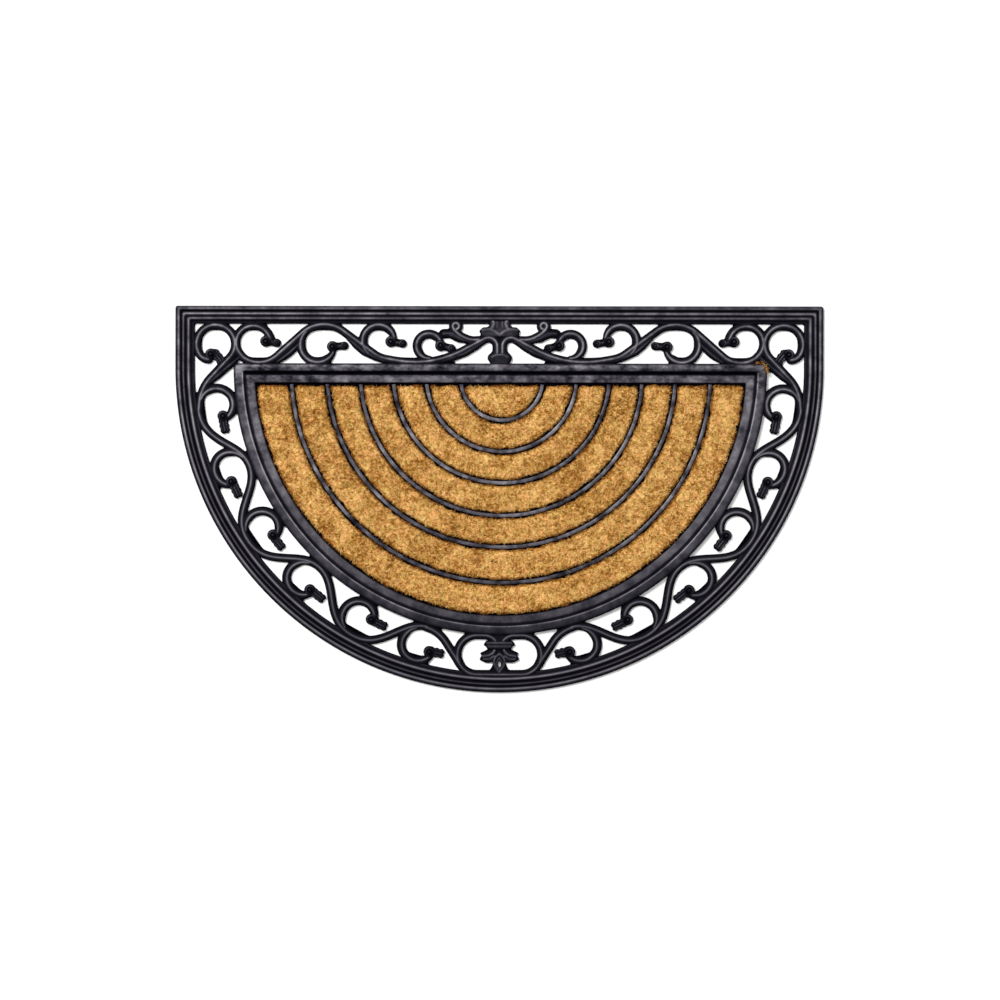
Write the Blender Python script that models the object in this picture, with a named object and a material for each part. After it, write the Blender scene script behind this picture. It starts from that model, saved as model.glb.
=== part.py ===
"""A half-round doormat: one moulded rubber grid that holds seven fields of coir pile.

The grid has a ridged outer rim, an openwork border of scrolls, a stepped inner rim, a closed tray
under the coir, and six half-ring ribs that part the coir into a half disc and six half rings.

Frame: X runs along the straight edge, +Y points to the straight edge, and Z is up from the floor.
Sizes in this file are millimetres and angles are degrees. Meshes are made in metres.
"""

import math
from typing import NamedTuple

import bmesh
import bpy
from mathutils import Matrix

METRES = 0.001

# Overall outline: a half disc with short straight sides
WIDTH = 750.0
ARC_RADIUS = WIDTH / 2
STRAIGHT_SIDE = 72.0
DEPTH = ARC_RADIUS + STRAIGHT_SIDE
TOP_EDGE = DEPTH / 2
CENTRE_Y = TOP_EDGE - STRAIGHT_SIDE

# How finely round shapes are cut
OUTLINE_STEPS = 40
CHORD_ERROR = 0.42
WAVE_STEPS = 10
KNOB_SIDES = 8
LEAF_SIDES = 10

# Heights above the floor
TRAY_FLOOR = 3.0
WEB_HEIGHT = 3.2
BAR_SHOULDER = 4.0
BAR_CREST = 7.0
BAR_LOW_CREST = 5.5
RIB_TOP = 7.5
PILE_SHOULDER = 9.2
PILE_TOP = 10.5

# Shapes start this far under the floor, each a little deeper than the one before, so that no two
# undersides fall in one plane. The last cut takes all of them off at the floor.
SPARE_DEPTH = 2.0
DEPTH_STEP = 0.02
CUT_SIZE = 1000.0
CUT_DEPTH = 100.0

# Border of scrolls, measured along and across a circle midway between the rims
BORDER_RADIUS = 330.0
FIRST_STATION = 8.0
STATION_PITCH = 13.28
LOBES = 6
PITCH_LENGTH = BORDER_RADIUS * math.radians(STATION_PITCH)
LAST_LOBE_HEADING = FIRST_STATION + STATION_PITCH * (LOBES - 1) - 90.0
WAVE_HEIGHT = 21.0
WAVE_FLATTENING = 0.04
VINE_HALF_WIDTH = 4.9
RING_HALF_WIDTH = 5.2
LOW_ARM_HALF_WIDTH = 4.0

# Low webs fill the narrow ends of the gaps where a bar leans on a rim
WEB_REACH = 7.0
WEB_INSET = 7.0
WEB_ROOT = 2.0

# How far the edges of the buttons and blocks are eased
DOME_TOP_SCALE = 0.5
BLOCK_EASE = 1.2

# One lobe of the curved border, from its station: along the border, and out from its middle line
LOBE_RING = (-3.5, 0.0)
LOBE_RING_RADIUS = 19.4
LOBE_RING_START = 115.0
LOBE_RING_END = 345.0
LOBE_KNOB = (9.8, -5.8)
LOBE_LEAF = (20.6, -5.0)
KNOB_RADIUS = 5.9
LEAF_LENGTH = 9.0
LEAF_WIDTH = 5.6
LOBE_HALF_CHANNEL = 22.3
LOBE_VINE_CONTACT = (-21.5, 22.0)
LOBE_RING_CONTACT = (-18.5, 14.0)

# Ribs and coir
RIB_HALF_FOOT = 3.2
RIB_HALF_TOP = 1.9
RIB_CENTRE_X = 2.6
COIR_RADIUS = 282.6
COIR_TOP_LINE = 131.0
RIB_END_LINE = 133.0
CLEARANCE = 0.3
PILE_EASE = 1.4

# The coir keeps clear of a rib also where a chord of either one stands in
RIB_TO_COIR = RIB_HALF_FOOT + CHORD_ERROR + CLEARANCE

# Looks
RUBBER_COLOUR = (0.035, 0.033, 0.040)
RUBBER_ROUGHNESS = 0.55
COIR_COLOUR = (0.56, 0.33, 0.12)
COIR_ROUGHNESS = 0.95


class RimRow(NamedTuple):
    """One line of a rim's section: distances in from the arc and from the straight edge, height."""

    from_arc: float
    from_straight: float
    height: float


class Circle(NamedTuple):
    """A circle that a bar runs round: turn is 1 for anticlockwise and -1 for clockwise."""

    x: float
    y: float
    radius: float
    turn: int


class Ring(NamedTuple):
    """A ring that branches off the vine of the straight border."""

    x: float
    y: float
    radius: float
    start: float
    end: float


class Foot(NamedTuple):
    """The knob and the leaf that end a ring of the straight border."""

    knob_x: float
    knob_y: float
    leaf_x: float
    leaf_y: float
    leaf_tilt: float


class Contact(NamedTuple):
    """A stretch of rim that a bar leans on; the bar is on the left of the way from start to end."""

    start_x: float
    start_y: float
    end_x: float
    end_y: float


class Rib(NamedTuple):
    """A half-ring rib between two coir fields."""

    radius: float
    centre_y: float


class Oval(NamedTuple):
    """A low oval button: half length, half width and tilt."""

    x: float
    y: float
    length: float
    width: float
    tilt: float


class Block(NamedTuple):
    """A block on the middle line, from its lowest to its highest y."""

    name: str
    half_width: float
    low: float
    high: float


OUTER_RIM = (
    RimRow(0.0, 0.0, -SPARE_DEPTH),
    RimRow(0.0, 0.0, 4.6),
    RimRow(4.3, 2.8, 6.2),
    RimRow(6.8, 5.5, 4.8),
    RimRow(9.8, 8.8, 7.0),
    RimRow(12.6, 11.2, 5.6),
    RimRow(16.0, 13.8, 8.0),
    RimRow(19.6, 17.0, 4.2),
    RimRow(22.2, 20.2, 4.0),
    RimRow(22.8, 20.8, -SPARE_DEPTH),
)

INNER_RIM = (
    RimRow(67.8, 66.8, -SPARE_DEPTH),
    RimRow(68.2, 67.3, 7.4),
    RimRow(70.0, 69.0, 9.0),
    RimRow(76.6, 74.6, 9.0),
    RimRow(79.2, 78.6, 7.0),
    RimRow(89.8, 89.2, 7.6),
    RimRow(92.0, 92.1, TRAY_FLOOR),
)

RIBS = (
    Rib(47.0, 138.5),
    Rib(86.8, 142.0),
    Rib(124.7, 143.5),
    Rib(162.7, 143.7),
    Rib(201.2, 145.9),
    Rib(242.1, 145.8),
)

# The side vine leaves a ring in the top corner and runs down to the first lobe
CORNER_HEADINGS = (180.0, 270.0)
CORNER_CIRCLES = (
    Circle(-336.1, 174.5, 11.0, -1),
    Circle(-327.5, 180.0, 21.2, -1),
    Circle(-299.0, 108.0, 50.0, 1),
)

# Past the last lobe it turns into the bottom ring and on to the middle of the mat
BOTTOM_CIRCLES = (
    Circle(-95.1, -184.8, 40.0, -1),
    Circle(-25.0, -180.0, 22.7, 1),
)
BOTTOM_END_HEADING = 0.0
BOTTOM_RING_HEADINGS = (115.0, -50.0)
BOTTOM_RING = (
    Circle(-25.0, -180.0, 22.7, -1),
    Circle(-17.0, -174.3, 17.0, -1),
)

# The vine of the straight border, from its first ring to the hook beside the middle
TOP_HEADINGS = (102.0, -90.0)
TOP_CIRCLES = (
    Circle(-284.0, 181.3, 20.3, 1),
    Circle(-278.0, 189.9, 31.0, 1),
    Circle(-203.0, 166.0, 37.0, -1),
    Circle(-124.3, 198.7, 35.0, 1),
    Circle(-98.0, 279.5, 120.0, 1),
    Circle(-13.0, 177.0, 9.0, -1),
)

TOP_RINGS = (
    Ring(-209.0, 180.0, 19.4, 132.0, 345.0),
    Ring(-140.0, 184.3, 18.0, 230.0, 0.0),
    Ring(-81.0, 179.5, 13.8, 272.0, -8.0),
    Ring(-31.0, 204.3, 21.5, 198.0, 262.0),
)

TOP_FEET = (
    Foot(-333.5, 168.6, -325.5, 165.5, -52.0),
    Foot(-270.3, 184.6, -259.8, 181.0, -10.0),
    Foot(-195.8, 176.2, -185.8, 177.0, 0.0),
    Foot(-127.0, 183.6, -116.8, 181.2, 0.0),
    Foot(-70.0, 178.0, -60.6, 177.0, 0.0),
    Foot(-50.2, 200.0, -61.5, 192.5, 0.0),
)

# Where the bars of the straight border and of the bottom ring lean on a rim
CONTACTS = (
    Contact(-312.0, 202.7, -343.0, 202.7),
    Contact(-267.5, 202.7, -299.0, 202.7),
    Contact(-181.0, 202.7, -222.0, 202.7),
    Contact(-125.0, 202.7, -152.0, 202.7),
    Contact(-42.5, 202.7, -57.5, 202.7),
    Contact(-296.5, 156.7, -255.0, 156.7),
    Contact(-226.0, 156.7, -192.5, 156.7),
    Contact(-137.0, 156.7, -49.0, 156.7),
    Contact(-352.2, 193.0, -352.2, 165.0),
    Contact(-2.0, -155.0, -44.0, -152.5),
)

# Low arms that thicken the vines on one side
LOW_ARMS = (
    ((-59.0, 190.3), (-47.0, 186.0), (-33.0, 181.5)),
    ((-302.0, 165.6), (-317.0, 153.2), (-338.0, 135.0)),
    ((-258.0, 159.5), (-244.0, 170.0), (-231.0, 182.0)),
    ((-175.0, 187.0), (-157.0, 171.8), (-133.0, 161.0)),
    ((-66.0, 159.5), (-40.0, 169.0), (-17.0, 183.0)),
)

# The end of the hook beside the middle
HOOK_END = (-4.6, 162.0)

# Petals of the bottom ornament's left half
PETALS = (
    Oval(-13.5, -180.4, 8.6, 6.4, 12.0),
    Oval(-4.4, -189.0, 11.0, 4.6, 90.0),
)

# The middle ornaments at the straight edge and at the bottom
BLOCKS = (
    Block("neck", 12.0, 196.0, 206.0),
    Block("shoulder_plate", 21.5, 186.5, 198.8),
    Block("hook_root", 6.0, 158.0, 190.0),
    Block("foot", 12.4, 152.0, 165.5),
    Block("collar", 14.8, -171.3, -163.6),
    Block("collar_stem", 6.0, -167.0, -152.0),
    Block("petal_root", 5.5, -199.5, -170.0),
)


def clear_scene():
    """Remove every object that the file opened with."""
    for item in list(bpy.data.objects):
        bpy.data.objects.remove(item, do_unlink=True)


def make_material(name, colour, roughness):
    """Return a plain non-metal material."""
    material = bpy.data.materials.new(name)
    material.use_nodes = True
    shader = material.node_tree.nodes["Principled BSDF"]
    shader.inputs["Base Color"].default_value = (*colour, 1.0)
    shader.inputs["Roughness"].default_value = roughness
    shader.inputs["Metallic"].default_value = 0.0
    return material


def make_object(name, points, faces):
    """Make a mesh object from points in millimetres, with its faces turned outwards."""
    mesh = bpy.data.meshes.new(name)
    shape = bmesh.new()
    verts = [shape.verts.new((x * METRES, y * METRES, z * METRES)) for x, y, z in points]
    for face in faces:
        shape.faces.new([verts[index] for index in face])
    bmesh.ops.recalc_face_normals(shape, faces=shape.faces)
    shape.to_mesh(mesh)
    shape.free()
    item = bpy.data.objects.new(name, mesh)
    bpy.context.scene.collection.objects.link(item)
    return item


def loft(name, loops, ends):
    """Join loops of equal length into a skin.

    With ends as "caps" the first and last loops are closed by a face; with ends as "ring" the last
    loop joins back to the first.
    """
    count = len(loops[0])
    points = [point for loop in loops for point in loop]
    faces = []
    pairs = len(loops) if ends == "ring" else len(loops) - 1
    for row in range(pairs):
        lower = row * count
        upper = (row + 1) % len(loops) * count
        for column in range(count):
            after = (column + 1) % count
            faces.append((lower + column, lower + after, upper + after, upper + column))
    if ends == "caps":
        faces.append(tuple(range(count)))
        faces.append(tuple(range(len(points) - count, len(points))))
    return make_object(name, points, faces)


def mirror_copy(item):
    """Return a copy of a shape, mirrored in the middle line."""
    mesh = item.data.copy()
    mesh.transform(Matrix.Diagonal((-1.0, 1.0, 1.0, 1.0)))
    mesh.flip_normals()
    twin = bpy.data.objects.new(item.name + "_right", mesh)
    bpy.context.scene.collection.objects.link(twin)
    return twin


def half_round(radius, top):
    """Return the outline of a half disc of this radius with its straight edge at y = top."""
    rise = top - CENTRE_Y
    if rise >= 0:
        corner = [(-radius, top)]
        steps = OUTLINE_STEPS - 2
        start = 180.0
    else:
        corner = []
        steps = OUTLINE_STEPS
        start = 180.0 - math.degrees(math.asin(rise / radius))
    sweep = 2 * (270.0 - start)
    outline = list(corner)
    for step in range(steps + 1):
        angle = math.radians(start + sweep * step / steps)
        outline.append((radius * math.cos(angle), CENTRE_Y + radius * math.sin(angle)))
    outline += [(-x, y) for x, y in corner]
    return outline


def rim_loops(rows):
    """Return one outline for each row of a rim's section."""
    loops = []
    for row in rows:
        outline = half_round(ARC_RADIUS - row.from_arc, TOP_EDGE - row.from_straight)
        loops.append([(x, y, row.height) for x, y in outline])
    return loops


def arc_steps(radius, sweep):
    """Return how many chords an arc takes to stay within the chord error."""
    widest = 2 * math.degrees(math.acos(1 - CHORD_ERROR / radius))
    return max(1, math.ceil(abs(sweep) / widest))


def arc(x, y, radius, start, end):
    """Return points along an arc from the start angle to the end angle, both ends included."""
    steps = arc_steps(radius, end - start)
    points = []
    for step in range(steps + 1):
        angle = math.radians(start + (end - start) * step / steps)
        points.append((x + radius * math.cos(angle), y + radius * math.sin(angle)))
    return points


def tangent_heading(here, there):
    """Return the heading of a belt that leaves one circle for the next."""
    across = there.x - here.x
    up = there.y - here.y
    lean = (here.turn * here.radius - there.turn * there.radius) / math.hypot(across, up)
    return math.degrees(math.atan2(up, across) + math.asin(max(-1.0, min(1.0, lean))))


def belt(circles, start, end):
    """Return a path that wraps the circles in turn, between two headings."""
    headings = [start]
    headings += [tangent_heading(here, there) for here, there in zip(circles, circles[1:])]
    headings.append(end)
    path = []
    for circle, enter, leave in zip(circles, headings, headings[1:]):
        sweep = (leave - enter) * circle.turn % 360
        first = enter - 90 * circle.turn
        for point in arc(circle.x, circle.y, circle.radius, first, first + sweep * circle.turn):
            if not path or math.dist(path[-1], point) > CHORD_ERROR:
                path.append(point)
    return path


def mirrored(path):
    """Return the path's mirror image in the middle line, run the other way."""
    return [(-x, y) for x, y in reversed(path)]


def border_point(station, along, out):
    """Place a point of the curved border's left half."""
    angle = math.radians(station) + along / BORDER_RADIUS
    radius = BORDER_RADIUS + out
    return (-radius * math.cos(angle), CENTRE_Y - radius * math.sin(angle))


def bar(name, path, half_width, depth, crest=BAR_CREST):
    """Sweep a ridged section along a path."""
    section = (
        (-1, -depth),
        (-1, BAR_SHOULDER),
        (0, crest),
        (1, BAR_SHOULDER),
        (1, -depth),
    )
    loops = []
    for index, (x, y) in enumerate(path):
        before = path[max(0, index - 1)]
        after = path[min(len(path) - 1, index + 1)]
        heading = math.atan2(after[1] - before[1], after[0] - before[0])
        across = (-math.sin(heading) * half_width, math.cos(heading) * half_width)
        loops.append([(x + across[0] * side, y + across[1] * side, z) for side, z in section])
    return loft(name, loops, "caps")


def dome(name, oval, depth, sides=LEAF_SIDES):
    """Make a low oval button, eased round its top."""
    turn = math.radians(oval.tilt)
    loops = []
    for scale, height in ((1.0, -depth), (1.0, BAR_SHOULDER), (DOME_TOP_SCALE, BAR_CREST)):
        loop = []
        for side in range(sides):
            angle = 2 * math.pi * side / sides
            along = oval.length * scale * math.cos(angle)
            across = oval.width * scale * math.sin(angle)
            loop.append((
                oval.x + along * math.cos(turn) - across * math.sin(turn),
                oval.y + along * math.sin(turn) + across * math.cos(turn),
                height,
            ))
        loops.append(loop)
    return loft(name, loops, "caps")


def knob(name, x, y, depth):
    """Make the round knob that a ring ends in."""
    return dome(name, Oval(x, y, KNOB_RADIUS, KNOB_RADIUS, 0.0), depth, KNOB_SIDES)


def leaf(name, x, y, tilt, depth):
    """Make the leaf beyond a knob."""
    return dome(name, Oval(x, y, LEAF_LENGTH, LEAF_WIDTH, tilt), depth)


def middle_block(row, depth):
    """Make a block on the middle line with its upper edges eased."""
    loops = []
    for inset, height in (
        (0.0, -depth),
        (0.0, BAR_CREST - BLOCK_EASE),
        (BLOCK_EASE, BAR_CREST),
    ):
        half = row.half_width - inset
        low = row.low + inset
        high = row.high - inset
        loops.append([
            (-half, low, height),
            (half, low, height),
            (half, high, height),
            (-half, high, height),
        ])
    return loft(row.name, loops, "caps")


def web(name, contact, depth):
    """Make a low web along the rim where a bar leans on it."""
    start = (contact.start_x, contact.start_y)
    end = (contact.end_x, contact.end_y)
    run = math.dist(start, end)
    along = ((end[0] - start[0]) / run, (end[1] - start[1]) / run)
    corners = []
    for (x, y), shift, inward in (
        (start, 0.0, -WEB_ROOT),
        (end, 0.0, -WEB_ROOT),
        (end, -WEB_INSET, WEB_REACH),
        (start, WEB_INSET, WEB_REACH),
    ):
        corners.append((
            x + along[0] * shift - along[1] * inward,
            y + along[1] * shift + along[0] * inward,
        ))
    loops = [[(x, y, height) for x, y in corners] for height in (-depth, WEB_HEIGHT)]
    return loft(name, loops, "caps")


def spare_depths():
    """Yield how far under the floor each shape starts, a little more each time."""
    depth = SPARE_DEPTH
    while True:
        depth += DEPTH_STEP
        yield depth


def wave(along):
    """Return how far out the vine runs at a distance along the border from the first station."""
    phase = math.pi * along / PITCH_LENGTH
    return WAVE_HEIGHT * (math.cos(phase) - WAVE_FLATTENING * math.cos(3 * phase))


def side_vine_path():
    """Return the path of the vine that runs round the mat, from one top corner to the other."""
    path = belt(CORNER_CIRCLES, *CORNER_HEADINGS)
    for step in range(WAVE_STEPS * (LOBES - 1)):
        along = PITCH_LENGTH * step / WAVE_STEPS
        path.append(border_point(FIRST_STATION, along, wave(along)))
    path += belt(BOTTOM_CIRCLES, LAST_LOBE_HEADING, BOTTOM_END_HEADING)
    return path + mirrored(path)


def lobe(index, depth):
    """Make the ring, knob, leaf and webs of one lobe on the left of the curved border."""
    station = FIRST_STATION + STATION_PITCH * index
    side = 1 if index % 2 == 0 else -1

    def place(along, out):
        return border_point(station, along, out * side)

    ring = arc(*LOBE_RING, LOBE_RING_RADIUS, LOBE_RING_START, LOBE_RING_END)
    ring = [place(along, out) for along, out in ring]
    tilt = station + math.degrees(LOBE_LEAF[0] / BORDER_RADIUS) - 90.0
    shapes = [
        bar(f"ring_{index}", ring, RING_HALF_WIDTH, next(depth)),
        knob(f"knob_{index}", *place(*LOBE_KNOB), next(depth)),
        leaf(f"leaf_{index}", *place(*LOBE_LEAF), tilt, next(depth)),
    ]
    for name, stretch, out in (
        ("vine_web", LOBE_VINE_CONTACT, LOBE_HALF_CHANNEL),
        ("ring_web", LOBE_RING_CONTACT, -LOBE_HALF_CHANNEL),
    ):
        start, end = (place(along, out) for along in stretch)
        contact = Contact(*start, *end) if out * side > 0 else Contact(*end, *start)
        shapes.append(web(f"{name}_{index}", contact, next(depth)))
    return shapes


def straight_border(depth):
    """Make the left half of the straight border, with the last scroll of the curved one."""
    vine = belt(TOP_CIRCLES, *TOP_HEADINGS) + [HOOK_END]
    bottom_ring = belt(BOTTOM_RING, *BOTTOM_RING_HEADINGS)
    shapes = [
        bar("top_vine", vine, VINE_HALF_WIDTH, next(depth)),
        bar("bottom_ring", bottom_ring, VINE_HALF_WIDTH, next(depth)),
    ]
    for index, arm in enumerate(LOW_ARMS):
        shapes.append(bar(f"low_arm_{index}", arm, LOW_ARM_HALF_WIDTH, next(depth), BAR_LOW_CREST))
    for index, ring in enumerate(TOP_RINGS):
        shapes.append(bar(f"top_ring_{index}", arc(*ring), RING_HALF_WIDTH, next(depth)))
    for index, foot in enumerate(TOP_FEET):
        shapes.append(knob(f"top_knob_{index}", foot.knob_x, foot.knob_y, next(depth)))
        leaf_place = (foot.leaf_x, foot.leaf_y, foot.leaf_tilt)
        shapes.append(leaf(f"top_leaf_{index}", *leaf_place, next(depth)))
    for index, contact in enumerate(CONTACTS):
        shapes.append(web(f"top_web_{index}", contact, next(depth)))
    for index, petal in enumerate(PETALS):
        shapes.append(dome(f"petal_{index}", petal, next(depth)))
    return shapes


def rib_arc(rib):
    """Return the path of a rib from the inner rim round to the inner rim again."""
    start = 180.0 - math.degrees(math.asin((RIB_END_LINE - rib.centre_y) / rib.radius))
    return arc(RIB_CENTRE_X, rib.centre_y, rib.radius, start, 540.0 - start)


def rib_bar(name, rib):
    """Make one rib, with sloping sides and a flat top."""
    section = (
        (-RIB_HALF_FOOT, TRAY_FLOOR / 2),
        (-RIB_HALF_FOOT, TRAY_FLOOR),
        (-RIB_HALF_TOP, RIB_TOP),
        (RIB_HALF_TOP, RIB_TOP),
        (RIB_HALF_FOOT, TRAY_FLOOR),
        (RIB_HALF_FOOT, TRAY_FLOOR / 2),
    )
    loops = []
    for x, y in rib_arc(rib):
        across = ((x - RIB_CENTRE_X) / rib.radius, (y - rib.centre_y) / rib.radius)
        loops.append([(x + across[0] * out, y + across[1] * out, z) for out, z in section])
    return loft(name, loops, "caps")


def join(base, others):
    """Join shapes into one body and cut its underside flat at the floor."""
    group = bpy.data.collections.new("joined_shapes")
    for item in others:
        group.objects.link(item)
    union = base.modifiers.new("union", "BOOLEAN")
    union.operation = "UNION"
    union.operand_type = "COLLECTION"
    union.collection = group
    union.solver = "EXACT"
    cutter = make_cutter()
    cut = base.modifiers.new("underside", "BOOLEAN")
    cut.operation = "DIFFERENCE"
    cut.object = cutter
    cut.solver = "EXACT"
    graph = bpy.context.evaluated_depsgraph_get()
    mesh = bpy.data.meshes.new_from_object(base.evaluated_get(graph))
    base.modifiers.clear()
    base.data = mesh
    for item in [*others, cutter]:
        bpy.data.objects.remove(item, do_unlink=True)
    bpy.data.collections.remove(group)


def make_cutter():
    """Make the block that takes off everything under the floor."""
    half = CUT_SIZE / 2
    loops = [
        [(-half, -half, z), (half, -half, z), (half, half, z), (-half, half, z)]
        for z in (-CUT_DEPTH, 0.0)
    ]
    return loft("underside_cutter", loops, "caps")


def rubber_moulding():
    """Make the rubber grid as one body."""
    depth = spare_depths()
    body = loft("rubber_moulding", rim_loops(OUTER_RIM), "ring")
    shapes = [loft("tray", rim_loops(INNER_RIM), "caps")]
    shapes += [rib_bar(f"rib_{index}", rib) for index, rib in enumerate(RIBS, start=1)]
    shapes.append(bar("side_vine", side_vine_path(), VINE_HALF_WIDTH, next(depth)))
    shapes += [middle_block(row, next(depth)) for row in BLOCKS]
    left_half = straight_border(depth)
    for index in range(LOBES):
        left_half += lobe(index, depth)
    shapes += left_half
    shapes += [mirror_copy(item) for item in left_half]
    join(body, shapes)
    return body


def side_of_field(x, y, radius, steps):
    """Return points along one side of a coir field, between its ends on the straight line."""
    start = 180.0 - math.degrees(math.asin((COIR_TOP_LINE - y) / radius))
    points = []
    for step in range(steps + 1):
        angle = math.radians(start + (540.0 - 2 * start) * step / steps)
        points.append((x + radius * math.cos(angle), y + radius * math.sin(angle)))
    return points


def field_edges():
    """Return the centre and radius of each coir field's outer side, from the middle outwards."""
    edges = [(RIB_CENTRE_X, rib.centre_y, rib.radius - RIB_TO_COIR) for rib in RIBS]
    edges.append((0.0, CENTRE_Y, COIR_RADIUS))
    return edges


def coir_centre():
    """Make the half disc of coir in the middle."""
    x, y, radius = field_edges()[0]
    steps = arc_steps(radius, 180.0)
    low = TRAY_FLOOR + CLEARANCE
    loops = []
    for inset, height in ((0.0, low), (0.0, PILE_SHOULDER), (PILE_EASE, PILE_TOP)):
        loops.append([(px, py, height) for px, py in side_of_field(x, y, radius - inset, steps)])
    return loft("coir_centre", loops, "caps")


def coir_band(index):
    """Make one half ring of coir, with its upper edges eased."""
    rib = RIBS[index - 1]
    inner = (RIB_CENTRE_X, rib.centre_y, rib.radius + RIB_TO_COIR)
    outer = field_edges()[index]
    steps = arc_steps(outer[2], 180.0)
    low = TRAY_FLOOR + CLEARANCE
    lines = []
    for (x, y, radius), inset, height in (
        (inner, 0.0, low),
        (inner, 0.0, PILE_SHOULDER),
        (inner, PILE_EASE, PILE_TOP),
        (outer, -PILE_EASE, PILE_TOP),
        (outer, 0.0, PILE_SHOULDER),
        (outer, 0.0, low),
    ):
        lines.append([(px, py, height) for px, py in side_of_field(x, y, radius + inset, steps)])
    return loft(f"coir_band_{index}", list(zip(*lines)), "caps")


def main():
    """Build the mat."""
    clear_scene()
    rubber = make_material("black_rubber", RUBBER_COLOUR, RUBBER_ROUGHNESS)
    coir = make_material("coir_pile", COIR_COLOUR, COIR_ROUGHNESS)
    rubber_moulding().data.materials.append(rubber)
    fields = [coir_centre()]
    fields += [coir_band(index) for index in range(1, len(RIBS) + 1)]
    for field in fields:
        field.data.materials.append(coir)


main()
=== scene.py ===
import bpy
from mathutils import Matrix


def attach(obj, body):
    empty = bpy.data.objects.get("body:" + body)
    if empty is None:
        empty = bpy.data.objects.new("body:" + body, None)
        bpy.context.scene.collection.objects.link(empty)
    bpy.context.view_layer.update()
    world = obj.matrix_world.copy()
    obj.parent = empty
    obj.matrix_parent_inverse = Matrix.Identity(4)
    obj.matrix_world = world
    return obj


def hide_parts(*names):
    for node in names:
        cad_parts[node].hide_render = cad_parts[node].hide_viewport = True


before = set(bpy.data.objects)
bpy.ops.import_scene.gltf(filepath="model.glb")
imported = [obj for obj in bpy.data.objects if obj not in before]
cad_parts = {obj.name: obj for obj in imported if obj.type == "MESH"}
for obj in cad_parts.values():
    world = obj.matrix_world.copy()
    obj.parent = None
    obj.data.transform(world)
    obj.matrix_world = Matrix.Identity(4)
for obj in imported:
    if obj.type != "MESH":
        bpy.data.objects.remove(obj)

"""Dress the half-round doormat: its black rubber rims, ribs and scroll border, and its coir pile.

Sizes are millimetres and angles are degrees, unless a name says metres or radians.
X runs along the straight edge, +Y points to the straight edge, and Z is up from the floor.
"""

import copy
import logging
import math
from collections.abc import Iterable, Sequence
from dataclasses import dataclass, field
from enum import Enum
from typing import NamedTuple

import bmesh
import bpy
import numpy as np
from mathutils import Vector
from mathutils.geometry import delaunay_2d_cdt

LOG = logging.getLogger("doormat")

MM = 0.001
ARC_STEP = 1.5
NOISE_CELLS = 256
FAR = 99.0
RUBBER_NODE = "rubber_moulding"
PAINTED_LIGHT_ATTRIBUTE = "painted_light"
TINT_ATTRIBUTE = "tint"
DEPTH_ATTRIBUTE = "depth"

Point = tuple[float, float]
Pair = tuple[float, float]
Triple = tuple[float, float, float]
Colour = tuple[float, float, float]


class Ends(Enum):
    """How a skin of loops ends."""

    CAPPED = "capped"
    RING = "ring"


class Turn(Enum):
    """Which way a path runs round a circle."""

    LEFT = 1
    RIGHT = -1


class Circle(NamedTuple):
    """A circle that a path runs round."""

    x: float
    y: float
    radius: float
    turn: Turn


class Branch(NamedTuple):
    """An open ring: its centre, its radius, and its first and last angles in degrees."""

    x: float
    y: float
    radius: float
    start: float
    end: float


class Foot(NamedTuple):
    """The knob that ends a ring of the straight border, and the round bud on its stalk."""

    knob_x: float
    knob_y: float
    bud_x: float
    bud_y: float


class Contact(NamedTuple):
    """A stretch of rim that a bar leans on, with the bar on the left of the way along it."""

    start_x: float
    start_y: float
    end_x: float
    end_y: float


class Plaque(NamedTuple):
    """A flat-topped block: its corners once round, its height and the painted light on its top."""

    corners: tuple[Point, ...]
    top: float
    painted_light: float


class Ridge(NamedTuple):
    """A narrow ridge on an ornament, with the strength of its painted highlight."""

    path: tuple[Point, ...]
    half: float
    crest: float
    painted_light: float


class Shift(NamedTuple):
    """How far a lobe stands from its even place, along the border and out from it."""

    along: float
    out: float


class RimRow(NamedTuple):
    """One line of a rim's section.

    It has its distances in from the arc and from the straight edge, its height, and its painted
    light on the arc and on the straight edge, from 0 for painted shade in a black groove to 1 for
    a painted highlight on a pale ridge.
    """

    from_arc: float
    from_straight: float
    height: float
    arc_light: float
    straight_light: float


class Rib(NamedTuple):
    """A half-ring rib between two coir fields."""

    radius: float
    centre_x: float
    centre_y: float
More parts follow.
